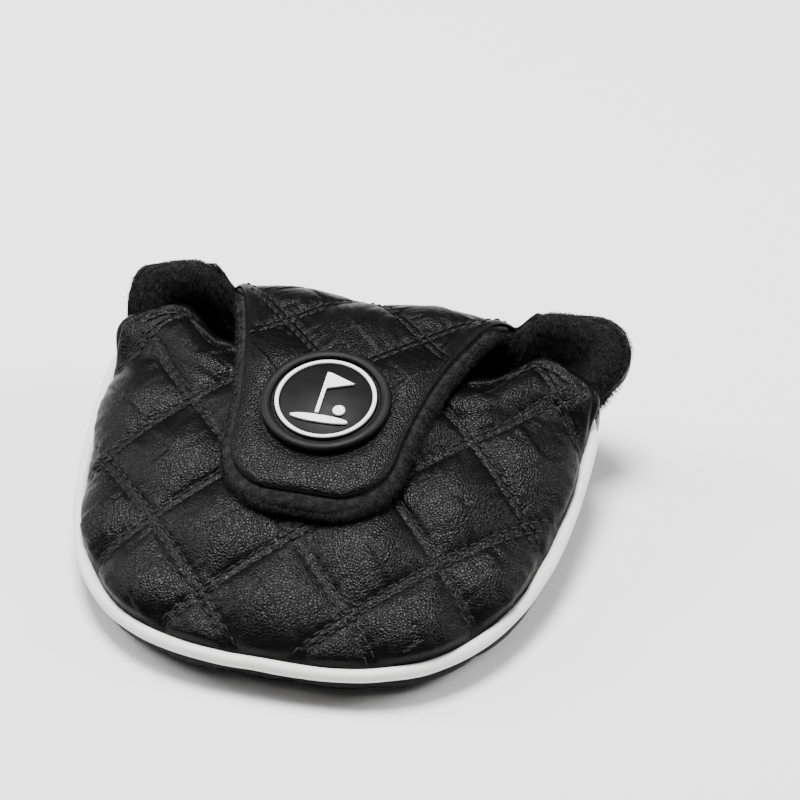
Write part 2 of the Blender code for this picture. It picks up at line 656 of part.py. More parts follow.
def quilt_route(slope, offsets, inside, height):
    """One thread that runs to and fro along the rows y = slope * x + offset, wherever inside allows."""
    corners = []
    for turn, offset in enumerate(offsets):
        x = np.linspace(-HALF_WIDTH, HALF_WIDTH, 801)
        kept = x[inside(x, slope * x + offset)]
        if len(kept) > 40:
            ends = kept[[0, -1]] if len(corners) % 4 == 0 else kept[[-1, 0]]
            corners += [(end, slope * end + offset) for end in ends]
    route = []
    for (x1, y1), (x2, y2) in zip(corners[:-1], corners[1:]):
        count = max(1, round(math.hypot(x2 - x1, y2 - y1) / THREAD_STEP))
        share = np.arange(count) / count
        x, y = mix(x1, x2, share), mix(y1, y2, share)
        route += list(zip(x, y, height(x, y)))
    x, y = corners[-1]
    return route + [(x, y, float(height(x, y)))]


def double_rows(first, last, shift):
    """Offsets of the rows: two beside each diamond's side."""
    half = ROW_SPACING / math.sqrt(2.0)
    middles = [shift + number * QUILT_PITCH for number in range(first, last + 1)]
    return [middle + side for middle in middles for side in (-half, half)]


def build_crown_threads():
    """The crown's quilting, one thread each way, the second over the first."""
    def inside(x, y):
        return (np.abs(x) < half_width(y) - 9.0 * MM) & (y > -44.0 * MM) & (y < MOUTH_CORNER_Y)

    for name, slope, clear in (("one_way", 1.0, 0.0), ("other_way", -1.0, THREAD_CROSSING)):
        def height(x, y, clear=clear):
            return crown_z(x, y) + THREAD_CLEAR + clear
        route = quilt_route(slope, double_rows(-2, 2, QUILT_SHIFT), inside, height)
        threads("crown_quilt_thread_" + name, [route])


def build_flap_threads():
    """The flap's quilting beside the top of the badge, a pair of rows to each thread."""
    runs = (("right_lower", 1.0, 1.0, 0, 0.0), ("right_upper", -1.0, 1.0, 1, THREAD_CROSSING),
            ("left_lower", -1.0, -1.0, 0, 0.0), ("left_upper", 1.0, -1.0, 1, THREAD_CROSSING))
    for name, slope, side, number, clear in runs:
        def inside(x, y, side=side):
            width = TIP_HALF_WIDTH + FLAP_SPREAD * np.maximum(y - TIP_Y, 0.0) ** 2
            keep = (x * side > 0.0) & (np.abs(x) < width - 2.5 * MM) & (y < FOLD_CENTRE_Y - 2.0 * MM)
            return keep & (np.hypot(x, y - BADGE_Y) > BADGE_RADIUS + 2.0 * MM)

        def height(x, y, clear=clear):
            return tongue_z(x, y, FLAP_THICKNESS) + THREAD_CLEAR + clear
        rows = double_rows(number, number, FLAP_QUILT_SHIFT)
        threads("flap_quilt_thread_" + name, [quilt_route(slope, rows, inside, height)])


def build_hem_thread():
    """The row of stitches along the crown's mouth edge."""
    x = np.linspace(-48.0 * MM, 48.0 * MM, 25)
    y = np.full(len(x), MOUTH_CORNER_Y + MOUTH_REACH - 4.0 * MM) - (np.abs(x) / (48.0 * MM)) ** 4 * 1.5 * MM
    threads("mouth_hem_thread", [np.stack([x, y, crown_z(x, y) + THREAD_CLEAR], axis=1)])


def hang_flap():
    """An empty on the fold's line carries every piece of the flap."""
    hinge = bpy.data.objects.new("fold_hinge", None)
    PARTS.objects.link(hinge)
    radius = FOLD_RADIUS + HINGE_OUT
    hinge.location.y = FOLD_CENTRE_Y + radius * math.cos(FOLD_ANGLE)
    hinge.location.z = FOLD_CENTRE_Z + radius * math.sin(FOLD_ANGLE)
    bpy.context.view_layer.update()
    for piece in (*PARTS.objects, *HELPERS.objects):
        if piece.name.startswith(("flap_", "badge_")):
            piece.parent = hinge
            piece.matrix_parent_inverse = hinge.matrix_world.inverted()


for leftover in list(bpy.data.objects):
    bpy.data.objects.remove(leftover)
PARTS = collection("putter_head_cover")
HELPERS = collection("cutters_and_guides")
build_sole()
build_crown()
build_wall()
build_piping()
build_flap()
build_magnets()
build_badge()
build_crown_threads()
build_flap_threads()
build_hem_thread()
hang_flap()
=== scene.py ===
"""Looks of a quilted putter head cover: padded leather panels, plush, piping, thread and a moulded badge.

Every surface is a formula of two parameters on a numpy grid, in metres, in the frame of the CAD part.
+Z is up, the mouth and the face wall are at +Y, and the closed flap lies towards -Y.
"""

import logging
import math
from dataclasses import dataclass
from enum import Enum
from typing import Callable

import bmesh
import bpy
import numpy as np
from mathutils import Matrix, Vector

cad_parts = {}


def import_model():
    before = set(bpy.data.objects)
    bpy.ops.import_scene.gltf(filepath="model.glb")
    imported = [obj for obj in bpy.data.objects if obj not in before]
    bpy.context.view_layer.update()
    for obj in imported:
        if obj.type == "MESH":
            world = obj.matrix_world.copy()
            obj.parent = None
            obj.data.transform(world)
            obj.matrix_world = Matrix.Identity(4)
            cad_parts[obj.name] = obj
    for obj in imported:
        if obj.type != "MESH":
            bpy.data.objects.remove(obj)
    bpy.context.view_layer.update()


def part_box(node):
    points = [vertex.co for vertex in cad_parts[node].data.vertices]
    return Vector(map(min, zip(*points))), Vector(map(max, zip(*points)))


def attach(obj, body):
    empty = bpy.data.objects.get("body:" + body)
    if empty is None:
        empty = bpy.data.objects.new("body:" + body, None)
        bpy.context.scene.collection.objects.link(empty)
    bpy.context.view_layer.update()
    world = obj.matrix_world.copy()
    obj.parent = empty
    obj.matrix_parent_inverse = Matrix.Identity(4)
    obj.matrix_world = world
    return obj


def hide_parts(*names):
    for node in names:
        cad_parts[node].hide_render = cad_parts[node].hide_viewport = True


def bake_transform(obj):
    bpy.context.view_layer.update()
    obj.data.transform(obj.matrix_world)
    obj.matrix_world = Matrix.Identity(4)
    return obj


MM = 0.001
UP = np.array([0.0, 0.0, 1.0])
POCKET = np.array([0.0, 0.02, 0.02])  # a place that every outer surface faces away from
LEATHER_THICK = 0.8 * MM
STITCH_LENGTH = 2.3 * MM
FIBRE_HALF_WIDTH = 0.075 * MM
COMBED = np.array([0.25, -0.35, -0.3])  # the way the pile leans, per unit of its length
LOG = logging.getLogger("putter_head_cover")
Array = np.ndarray


class Body(Enum):
    """The CAD bodies that pieces ride on."""

    COVER = "cover"
    FLAP = "flap"


# ------------------------------------------------------------------ small formulas

def smooth(value: Array) -> Array:
    """Smooth step: 3v^2 - 2v^3, with v held between 0 and 1."""
    held = np.clip(value, 0.0, 1.0)
    return held * held * (3.0 - 2.0 * held)


def mix(first: Array, second: Array, share: Array) -> Array:
    """First plus share times the way to second."""
    return first + (second - first) * share


def unit(vectors: Array) -> Array:
    """Vectors divided by their lengths, along the last axis."""
    length = np.linalg.norm(vectors, axis=-1, keepdims=True)
    return vectors / np.maximum(length, 1e-12)


def signed_power(value: Array, power: float) -> Array:
    """Magnitude to a power, with the sign kept."""
    return np.sign(value) * np.abs(value) ** power


def quarter(value: Array) -> Array:
    """A quarter circle: 0 at 0, climbing steeply at first to 1 at 1, with value held between them."""
    gone = 1.0 - np.clip(value, 0.0, 1.0)
    return np.sqrt(np.maximum(1.0 - gone**2, 0.0))


def hump(value: Array, width: float) -> Array:
    """A rounded hump: 1 where value is 0, fading as exp(-(value / width)^2)."""
    return np.exp(-((value / width) ** 2))


def ripple(along: Array, seed: Array, wave: float) -> Array:
    """An uneven wave: four sines whose lengths are wave over 1, 1.63, 2.31 and 0.57, shifted by seed."""
    total = np.zeros(np.broadcast(along, seed).shape)
    for number, (rate, share) in enumerate(((1.0, 0.4), (1.63, 0.25), (2.31, 0.15), (0.57, 0.2))):
        total += share * np.sin(math.tau * rate * along / wave + seed * (2.7 + 1.9 * number))
    return total


def grid_normals(points: Array, closed: bool) -> Array:
    """Unit normals of a grid of points: the cross product of its two differences.

    Args:
        points: rows by columns by 3.
        closed: whether the last column joins the first.

    Returns:
        Normals in the shape of points.
    """
    if closed:
        across = np.roll(points, -1, axis=1) - np.roll(points, 1, axis=1)
    else:
        across = np.gradient(points, axis=1)
    down = np.gradient(points, axis=0)
    return unit(np.cross(across, down))


def outward(points: Array, closed: bool, inside: Array) -> Array:
    """Normals of a grid, turned as a whole to point away from a place inside."""
    normals = grid_normals(points, closed)
    facing = np.sum(normals * (points - inside))
    return normals if facing >= 0.0 else -normals


# ------------------------------------------------------------------ meshes

def mesh_piece(name: str, points: Array, faces: Array) -> bpy.types.Object:
    """An object of numpy points and faces that all have the same number of corners."""
    mesh = bpy.data.meshes.new(name)
    corners = faces.shape[1]
    mesh.vertices.add(len(points))
    mesh.vertices.foreach_set("co", points.astype(np.float32).ravel())
    mesh.loops.add(faces.size)
    mesh.loops.foreach_set("vertex_index", faces.astype(np.int32).ravel())
    mesh.polygons.add(len(faces))
    mesh.polygons.foreach_set("loop_start", np.arange(0, faces.size, corners, dtype=np.int32))
    mesh.polygons.foreach_set("use_smooth", np.ones(len(faces), bool))
    mesh.update(calc_edges=True)
    mesh.validate()
    piece = bpy.data.objects.new(name, mesh)
    bpy.context.scene.collection.objects.link(piece)
    return piece


def grid_faces(rows: int, columns: int, closed: bool, ring: bool = False) -> Array:
    """Corner numbers of a grid's quads. closed joins the last column to the first, ring the last row."""
    row = np.arange(rows if ring else rows - 1)[:, None]
    column = np.arange(columns if closed else columns - 1)[None, :]
    below = (row + 1) % rows
    beside = (column + 1) % columns
    here, under = row * columns, below * columns
    quads = [here + column, here + beside, under + beside, under + column]
    return np.stack([np.broadcast_to(q, (row.size, column.size)) for q in quads], axis=-1).reshape(-1, 4)


def merge_poles(piece: bpy.types.Object) -> None:
    """Merges the points that meet at a pole or a seam."""
    bm = bmesh.new()
    bm.from_mesh(piece.data)
    bmesh.ops.remove_doubles(bm, verts=bm.verts, dist=1e-7)
    bm.to_mesh(piece.data)
    bm.free()


def surface_piece(name: str, points: Array, inside: Array, closed: bool = False, ring: bool = False,
                  thickness: float = 0.0) -> bpy.types.Object:
    """A piece from a grid of points, its faces turned away from a place inside.

    Args:
        name: the piece's name.
        points: rows by columns by 3.
        inside: a place, or one place per point, on the hidden side.
        closed: whether the last column joins the first.
        ring: whether the last row joins the first.
        thickness: wall added on the hidden side, 0 for none.
    """
    rows, columns = points.shape[:2]
    faces = grid_faces(rows, columns, closed, ring)
    flat = points.reshape(-1, 3)
    corner = flat[faces]
    normal = np.cross(corner[:, 2] - corner[:, 0], corner[:, 3] - corner[:, 1])
    hidden = np.broadcast_to(inside, points.shape).reshape(-1, 3)[faces[:, 0]]
    if np.sum(normal * (corner.mean(axis=1) - hidden)) < 0.0:
        faces = faces[:, ::-1]
    piece = mesh_piece(name, flat, faces)
    merge_poles(piece)
    if thickness:
        wall = piece.modifiers.new("wall", "SOLIDIFY")
        wall.thickness = thickness
        wall.offset = -1.0
    return piece


def stitch_piece(name: str, centres: Array, along: Array, up: Array, length: float,
                 radius: float) -> bpy.types.Object:
    """Separate stitches: short six-sided rods that bow up at the middle and dive at both ends.

    Point = centre + along * length * s + (up * cos + side * sin) * radius - up * dive * s^2 * 4.
    """
    side = np.cross(along, up)
    sides, dive = 6, 1.2 * radius
    share = np.array([-0.5, -0.36, 0.0, 0.36, 0.5])
    girth = np.array([0.25, 0.95, 1.0, 0.95, 0.25])
    turn = np.arange(sides) * math.tau / sides
    points = centres[:, None, None, :] + along[:, None, None, :] * (share * length)[None, :, None, None]
    ring = (np.cos(turn)[None, None, :, None] * up[:, None, None, :]
            + np.sin(turn)[None, None, :, None] * side[:, None, None, :])
    points = points + ring * (girth * radius)[None, :, None, None]
    points = points - up[:, None, None, :] * (share**2 * 4.0 * dive)[None, :, None, None]
    one = grid_faces(share.size, sides, True)
    first = np.arange(len(centres)) * share.size * sides
    faces = (one[None] + first[:, None, None]).reshape(-1, 4)
    return mesh_piece(name, points.reshape(-1, 3), faces)


def pile_piece(name: str, points: Array, closed: bool, inside: Array, count: int, length: float,
               seed: int, ring: bool = False) -> bpy.types.Object:
    """Short fibres scattered evenly by area over a grid, each a thin triangle that leans its own way."""
    chance = np.random.default_rng(seed)
    faces = grid_faces(*points.shape[:2], closed, ring)
    corner = points.reshape(-1, 3)[faces]
    normal = np.cross(corner[:, 2] - corner[:, 0], corner[:, 3] - corner[:, 1])
    if np.sum(normal * (corner.mean(axis=1) - inside)) < 0.0:
        normal = -normal
    area = np.linalg.norm(normal, axis=1)
    pick = chance.choice(len(faces), size=count, p=area / area.sum())
    u, v = chance.random((2, count, 1))
    root = mix(mix(corner[pick, 0], corner[pick, 1], u), mix(corner[pick, 3], corner[pick, 2], u), v)
    up = unit(normal[pick])
    lean = unit(np.cross(up, chance.normal(size=(count, 3))))
    across = unit(np.cross(up, lean))
    width = FIBRE_HALF_WIDTH * chance.uniform(0.7, 1.3, (count, 1))
    tall = length * chance.uniform(0.55, 1.15, (count, 1))
    tip = root + up * tall + (lean * chance.uniform(0.2, 0.8, (count, 1)) + COMBED) * tall
    root = root - up * 0.1 * MM
    corners = np.stack([root - across * width, root + across * width, tip], axis=1)
    return mesh_piece(name, corners.reshape(-1, 3), np.arange(3 * count).reshape(-1, 3))


# ------------------------------------------------------------------ the cover's form

@dataclass(frozen=True)
class Rim:
    """A closed outline in plan: a rear half and a front half superellipse that meet at widest_y."""

    form: "CoverForm"
    widest_y: float
    front_reach: float
    front_power: float
    follow: float

    def at(self, angle: Array, inset: Array = 0.0) -> tuple[Array, Array]:
        """x and y at an angle, 0 at the rear and +-90 degrees at the widest line.

        Rear: x = width * (1 - run^n)^(1/n). Front: x = width * |sin|^(2/m), y = widest + reach * |cos|^(2/m).
        """
        form = self.form
        cosine = np.abs(np.cos(angle))
        reach = self.widest_y - form.widest_y + form.rear_reach - inset
        rear_y = self.widest_y - reach * cosine ** (2.0 / form.rear_power)
        reach = self.front_reach - self.follow * inset
        front_y = self.widest_y + reach * cosine ** (2.0 / self.front_power)
        front_x = form.side(self.widest_y, inset) * np.abs(np.sin(angle)) ** (2.0 / self.front_power)
        rear = np.cos(angle) >= 0.0
        x = np.sign(np.sin(angle)) * np.where(rear, form.side(rear_y, inset), front_x)
        return x, np.where(rear, rear_y, front_y)

    def lengths(self, first: float, last: float) -> tuple[Array, Array]:
        """Fine angles from first to last, and the outline's length up to each."""
        fine = np.linspace(first, last, 6001)
        x, y = self.at(fine)
        return fine, np.concatenate([[0.0], np.cumsum(np.hypot(np.diff(x), np.diff(y)))])

    def even(self, first: float, last: float, count: int) -> Array:
        """Angles whose points are evenly spaced along the outline."""
        fine, run = self.lengths(first, last)
        return np.interp(np.linspace(0.0, run[-1], count), run, fine)

    def around(self, first: float, count: int) -> Array:
        """One row of evenly spaced angles once round the outline, the last short of the first."""
        return self.even(first, first + math.tau, count + 1)[None, :-1]

    def run(self, angle: Array) -> Array:
        """Length along the outline from the middle of the front to each angle."""
        fine, total = self.lengths(0.0, math.tau)
        return np.interp(angle, fine, total) - np.interp(math.pi, fine, total)


@dataclass(frozen=True)
class CoverForm:
    """The padded cover's overall form, its plan sizes taken from the sole's CAD box."""

    half_width: float
    rear_reach: float
    crown_height: float = 34.0 * MM
    widest_y: float = 40.0 * MM
    rear_power: float = 2.89
    front_reach: float = 17.7 * MM
    front_power: float = 2.6
    seam_rear_z: float = 9.0 * MM
    front_seam_z: float = 10.0 * MM
    corner_run: float = 14.0 * MM
    centre_y: float = 8.0 * MM
    mouth_y: float = 30.0 * MM
    mouth_reach: float = 8.5 * MM
    mouth_power: float = 3.5
    fold_radius: float = 16.0 * MM
    fold_half_width: float = 38.0 * MM
    flap_thickness: float = 5.3 * MM
    flap_rest: float = 2.3 * MM

    @classmethod
    def from_frame(cls) -> "CoverForm":
        """Reads the half width and the reach to the rear from the sole's CAD box."""
        low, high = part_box("sole_shell")
        return cls(half_width=high.x, rear_reach=cls.widest_y - low.y)

    @property
    def sole_rim(self) -> Rim:
        """The outline that the sole, the piping and the face wall share."""
        return Rim(self, self.widest_y, self.front_reach, self.front_power, 1.0)

    @property
    def crown_rim(self) -> Rim:
        """The crown's outline, whose front is the edge of the mouth."""
        return Rim(self, self.mouth_y, self.mouth_reach, self.mouth_power, 0.0)

    @property
    def fold_centre(self) -> tuple[float, float]:
        """y and z of the middle of the fold's arc."""
        y = self.widest_y + self.front_reach - 0.7 * MM - self.fold_radius
        return y, self.crown_height + 6.2 * MM - self.fold_radius

    def side(self, y: Array, inset: Array = 0.0) -> Array:
        """Half the width at y behind the widest line."""
        run = np.clip((self.widest_y - y) / (self.rear_reach - inset), 0.0, 1.0)
        return (self.half_width - inset) * (1.0 - run**self.rear_power) ** (1.0 / self.rear_power)

    def seam(self, y: Array) -> Array:
        """Height of the piped seam, which climbs with the square of the way from the rear."""
        run = np.clip((y - self.widest_y + self.rear_reach) / (self.rear_reach + 8.0 * MM), 0.0, 1.0)
        return self.seam_rear_z + (self.crown_height - self.seam_rear_z - 5.0 * MM) * run**2

    def sole_edge(self, x: Array, y: Array) -> Array:
        """Height of the sole's upper edge: the seam at the sides, low across the front."""
        front = (y > self.widest_y) * smooth((self.half_width - np.abs(x)) / self.corner_run)
        return mix(self.seam(np.minimum(y, self.widest_y)) - 0.8 * MM, self.front_seam_z, front)

    def dome(self, x: Array, y: Array) -> Array:
        """Height of the crown before its edges turn down: level, then sloping to the rear."""
        start = 20.0 * MM
        slope = (self.crown_height - self.seam_rear_z - 10.2 * MM) / (start - self.widest_y + self.rear_reach)
        run = start - y
        fall = slope * 0.5 * (run + np.sqrt(run * run + (10.0 * MM) ** 2))
        edge = self.mouth_y + self.mouth_reach
        sag = hump(x, 26.0 * MM) * hump(y - edge, 16.0 * MM)
        return self.crown_height - fall - 1.6 * MM * sag

    def sewn(self, angle: Array) -> Array:
        """1 where the crown's edge is sewn into the piping and 0 along the mouth."""
        return 1.0 - smooth((self.crown_rim.at(angle)[1] - 24.0 * MM) / (12.0 * MM))

    def crown_at(self, angle: Array, out: Array, depth: float) -> Array:
        """A crown point: out is 0 at the middle and 1 at the edge.

        z = edge + (dome - edge) * (1 - out^3)^(1/2.2).
        """
        x, y = self.crown_rim.at(angle)
        inner_x, inner_y = self.crown_rim.at(angle, depth)
        sewn = self.sewn(angle)
        seam = self.seam(y) + 0.8 * MM
        x, y = mix(x, inner_x, sewn), mix(y, inner_y, sewn)
        edge = mix(self.dome(x, y) - depth, seam, sewn)
        x, y = x * out, self.centre_y + (y - self.centre_y) * out
        z = edge + (self.dome(x, y) - depth - edge) * (1.0 - np.clip(out, 0.0, 1.0) ** 3) ** (1.0 / 2.2)
        return np.stack(np.broadcast_arrays(x, y, z), axis=-1)

    def crown_polar(self, x: Array, y: Array) -> tuple[Array, Array]:
        """The rim's angle on the ray from the crown's middle through a plan point, and the share run."""
        fine = np.linspace(-math.pi, math.pi, 2881)
        edge_x, edge_y = self.crown_rim.at(fine)
        bearing = np.arctan2(edge_x, self.centre_y - edge_y)
        angle = np.interp(np.arctan2(x, self.centre_y - y), bearing, fine)
        edge_x, edge_y = self.crown_rim.at(angle)
        reach = np.hypot(edge_x, edge_y - self.centre_y)
        return angle, np.clip(np.hypot(x, y - self.centre_y) / reach, 0.0, 1.0)

    def crown_z(self, x: Array, y: Array) -> Array:
        """Height of the crown over a plan point."""
        x, y = np.broadcast_arrays(np.asarray(x, float), np.asarray(y, float))
        return self.crown_at(*self.crown_polar(x, y), 0.0)[..., 2]

    def tongue_z(self, x: Array, y: Array) -> Array:
        """Top of the flap where it lies on the crown, blending into the fold's arc."""
        centre_y, centre_z = self.fold_centre
        edge = self.mouth_y + self.mouth_reach - 3.0 * MM
        resting = self.crown_z(x, np.minimum(y, edge)) + self.flap_rest + self.flap_thickness
        return mix(centre_z + self.fold_radius, resting, smooth((centre_y - y) / (centre_y - 24.0 * MM)))


# ------------------------------------------------------------------ quilting

@dataclass(frozen=True)
class Quilting:
    """Diamonds at 45 degrees, each side a pair of stitched rows pressed into the padding."""

    shift: float
    puff: float = 2.4 * MM
    pitch: float = 35.8 * MM
    row: float = 1.0 * MM
    crease: float = 0.16 * MM
    stitch_pitch: float = 2.9 * MM
    reach: float = 0.11

    def lines(self, x: Array, y: Array) -> list[tuple[Array, Array, Array]]:
        """Distance across, distance along and number of the nearest line, for each of the two slopes."""
        found = []
        for slope in (1.0, -1.0):
            place = (y - slope * x - self.shift) / self.pitch
            number = np.rint(place)
            across = (place - number) * self.pitch / math.sqrt(2.0)
            found.append((across, (x + slope * y) / math.sqrt(2.0), number * 3.0 + slope))
        return found

    def lift(self, x: Array, y: Array) -> Array:
        """Height over the stitched rows.

        puff * product of sin(90 deg * s)^0.7, s the way from row to middle, plus creases that run off the
        rows and fade over a few millimetres, a groove along each row with a dent at each needle hole, and a
        low ridge between the two rows.
        """
        half = self.pitch / (2.0 * math.sqrt(2.0))
        pillow, creases, ridge = 1.0, 0.0, 0.0
        (_, _, first), (_, _, second) = self.lines(x, y)
        for across, along, number in self.lines(x, y):
            gone = np.maximum(np.abs(across) - self.row, 0.0)
            pillow = pillow * np.sin(math.pi / 2.0 * np.clip(gone / (half - self.row), 0.0, 1.0)) ** 0.7
            fade = (1.0 - np.exp(-gone / (0.9 * MM))) * np.exp(-gone / (3.2 * MM))
            bend = along + 0.35 * gone * np.sin(number + along / (7.0 * MM))
            creases = creases + 2.2 * fade * ripple(bend, number + np.sign(across), 4.6 * MM)
            tight = hump(np.abs(across) - self.row, 0.55 * MM)
            creases = creases + tight * (np.cos(math.tau * along / self.stitch_pitch) - 1.6)
            ridge = np.maximum(ridge, 1.0 - (across / self.row) ** 2)
        uneven = 1.0 + 0.14 * np.sin(1.7 * first + 2.9 * second)
        return self.puff * pillow * uneven + self.crease * creases + 0.08 * MM * ridge

    def stitches(self, keep: Callable[[Array, Array], Array]) -> tuple[Array, Array, Array]:
        """Plan places of the stitches: x, y and slope of each, wherever keep allows.

        A row's point = (0, shift + number * pitch) + (along * (1, slope) + across * (-slope, 1)) / sqrt 2.
        """
        along = np.arange(-self.reach, self.reach, self.stitch_pitch)
        found = []
        for number in range(-5, 6):
            for slope in (1.0, -1.0):
                for across in (-self.row, self.row):
                    x = (along - slope * across) / math.sqrt(2.0)
                    y = self.shift + number * self.pitch + (slope * along + across) / math.sqrt(2.0)
                    kept = keep(x, y)
                    found.append(np.stack([x[kept], y[kept], np.full(kept.sum(), slope)]))
        x, y, slope = np.concatenate(found, axis=1)
        return x, y, slope


def lay_stitches(name: str, surface: Callable[[Array, Array], Array], x: Array, y: Array, direction: Array,
                 length: float = STITCH_LENGTH, radius: float = 0.3 * MM) -> bpy.types.Object:
    """Stitches laid on a surface given as a function of two parameters, along a direction in them."""
    step = 0.4 * MM
    ahead = surface(x + direction[0] * step, y + direction[1] * step)
    behind = surface(x - direction[0] * step, y - direction[1] * step)
    left = surface(x - direction[1] * step, y + direction[0] * step)
    right = surface(x + direction[1] * step, y - direction[0] * step)
    along = unit(ahead - behind)
    up = unit(np.cross(along, left - right))
    middle = (ahead + behind) / 2.0 + up * 0.28 * MM
    return stitch_piece(name, middle, along, up, length, radius)


def sew_rows(name: str, places: tuple[Array, Array, Array], surface: Callable[[Array, Array], Array],
             start: float = 0.0) -> bpy.types.Object:
    """A quilting's stitches on a surface given as a function of x and y - start."""
    x, y, slope = places
    direction = unit(np.stack([np.ones_like(slope), slope], axis=-1)).T
    return lay_stitches(name, surface, x, y - start, direction)


# ------------------------------------------------------------------ finishes

Colour = tuple[float, float, float, float]


class Graph:
    """A short way to add and join nodes in one node tree."""

    def __init__(self, tree: bpy.types.NodeTree) -> None:
        """Keeps the tree that nodes are added to."""
        self.tree = tree

    def node(self, kind: str, settings: dict | None = None, **inputs: object) -> bpy.types.Node:
        """Adds a node.

        Args:
            kind: the node's type without its ShaderNode prefix.
            settings: properties of the node.
            inputs: values or output sockets for its inputs, underscores for spaces.
        """
        made = self.tree.nodes.new("ShaderNode" + kind)
        for name, value in (settings or {}).items():
            setattr(made, name, value)
        for name, value in inputs.items():
            socket = made.inputs[int(name[1:])] if name[0] == "i" and name[1:].isdigit() else None
            socket = made.inputs[name.replace("_", " ")] if socket is None else socket
            if isinstance(value, bpy.types.NodeSocket):
                self.tree.links.new(value, socket)
            else:
                socket.default_value = value
        return made

    def maths(self, operation: str, first: object, second: object = 0.0) -> bpy.types.NodeSocket:
        """The output of a Math node."""
        made = self.node("Math", {"operation": operation, "use_clamp": False}, i0=first, i1=second)
        return made.outputs[0]

    def ramp(self, value: object, low: float, high: float, start: float = 0.0,
             end: float = 1.0) -> bpy.types.NodeSocket:
        """Value mapped from low..high to start..end, held at both ends."""
        made = self.node("MapRange", {"clamp": True}, Value=value, From_Min=low, From_Max=high,
                         To_Min=start, To_Max=end)
        return made.outputs[0]

    def blend(self, share: object, first: object, second: object) -> bpy.types.NodeSocket:
        """A colour between two colours."""
        made = self.node("Mix", {"data_type": "RGBA"}, i0=share, i6=first, i7=second)
        return made.outputs[2]


def effect(name: str, inputs: dict[str, float], outputs: tuple[str, ...],
           fill: Callable[[Graph, bpy.types.Node], dict[str, object]]) -> bpy.types.NodeTree:
    """A shader node group, built once.

    Args:
        name: the group's name.
        inputs: names and values of its number inputs; a Vector input comes first.
        outputs: names of its number outputs.
        fill: adds the nodes and returns an output socket for each output name.
    """
    tree = bpy.data.node_groups.get(name)
    if tree is not None:
        return tree
    tree = bpy.data.node_groups.new(name, "ShaderNodeTree")
    tree.interface.new_socket("Vector", in_out="INPUT", socket_type="NodeSocketVector")
    for label, value in inputs.items():
        socket = tree.interface.new_socket(label, in_out="INPUT", socket_type="NodeSocketFloat")
        socket.default_value = value
    for label in outputs:
        tree.interface.new_socket(label, in_out="OUTPUT", socket_type="NodeSocketFloat")
    graph = Graph(tree)
    entry = tree.nodes.new("NodeGroupInput")
    leaving = tree.nodes.new("NodeGroupOutput")
    for label, socket in fill(graph, entry).items():
        tree.links.new(socket, leaving.inputs[label])
    return tree


def pebble_grain() -> bpy.types.NodeTree:
    """Pebbled grain: rounded cells parted by creases, with pores and a fine wrinkle over them."""
    def fill(graph: Graph, entry: bpy.types.Node) -> dict[str, object]:
        """Adds the group's nodes."""
        density = graph.maths("DIVIDE", 1.0, entry.outputs["Cell"])
        bend = graph.node("TexNoise", Vector=entry.outputs["Vector"], Detail=2.0,
                          Scale=graph.maths("MULTIPLY", density, 0.7))
        shift = graph.node("VectorMath", {"operation": "SCALE"}, i0=bend.outputs["Color"],
                           Scale=graph.maths("MULTIPLY", entry.outputs["Cell"], 0.6))
        moved = graph.node("VectorMath", {"operation": "ADD"}, i0=entry.outputs["Vector"],
                           i1=shift.outputs[0])
        place = moved.outputs[0]
        edge = graph.node("TexVoronoi", {"feature": "DISTANCE_TO_EDGE"}, Vector=place, Scale=density)
        dome = graph.node("TexVoronoi", {"feature": "F1"}, Vector=place, Scale=density)
        fine = graph.node("TexNoise", Vector=place, Scale=graph.maths("MULTIPLY", density, 3.5),
                          Detail=3.0, Roughness=0.6)
        crease = graph.ramp(edge.outputs["Distance"], 0.0, 0.16, 1.0, 0.0)
        rise = graph.maths("POWER", graph.ramp(edge.outputs["Distance"], 0.0, 0.3), 0.6)
        round_top = graph.maths("MULTIPLY", graph.ramp(dome.outputs["Distance"], 0.0, 0.8, 1.0, 0.0), 0.5)
        height = graph.maths("ADD", graph.maths("ADD", rise, round_top),
                             graph.maths("MULTIPLY", fine.outputs[0], 0.18))
        return {"Height": height, "Crease": crease}
    return effect("pebble_grain", {"Cell": 0.9 * MM}, ("Height", "Crease"), fill)


def mottle() -> bpy.types.NodeTree:
    """Slow, cloudy variation from 0 to 1, for handling marks and uneven dye."""
    def fill(graph: Graph, entry: bpy.types.Node) -> dict[str, object]:
        """Adds the group's nodes."""
        density = graph.maths("DIVIDE", 1.0, entry.outputs["Patch"])
        cloud = graph.node("TexNoise", Vector=entry.outputs["Vector"], Scale=density, Detail=4.0,
                           Roughness=0.55)
        return {"Value": graph.ramp(cloud.outputs[0], 0.32, 0.68)}
    return effect("mottle", {"Patch": 20.0 * MM}, ("Value",), fill)


def nap() -> bpy.types.NodeTree:
    """Tufts of pile: fine clumps over coarser ones, as a height and a mask of the tufts' tips, where the
    painted highlight goes and the roughness drops.
    """
    def fill(graph: Graph, entry: bpy.types.Node) -> dict[str, object]:
        """Adds the group's nodes."""
        density = graph.maths("DIVIDE", 1.0, entry.outputs["Tuft"])
        place = entry.outputs["Vector"]
        coarse = graph.maths("MULTIPLY", density, 0.3)
        clump = graph.node("TexNoise", Vector=place, Scale=coarse, Detail=3.0, Roughness=0.6)
        tuft = graph.node("TexVoronoi", {"feature": "SMOOTH_F1"}, Vector=place, Scale=density, Smoothness=0.6)
        hollow = graph.maths("MULTIPLY", tuft.outputs["Distance"], 0.5)
        height = graph.maths("SUBTRACT", clump.outputs[0], hollow)
        return {"Height": height, "Tips": graph.ramp(clump.outputs[0], 0.42, 0.64)}
    return effect("nap", {"Tuft": 0.6 * MM}, ("Height", "Tips"), fill)


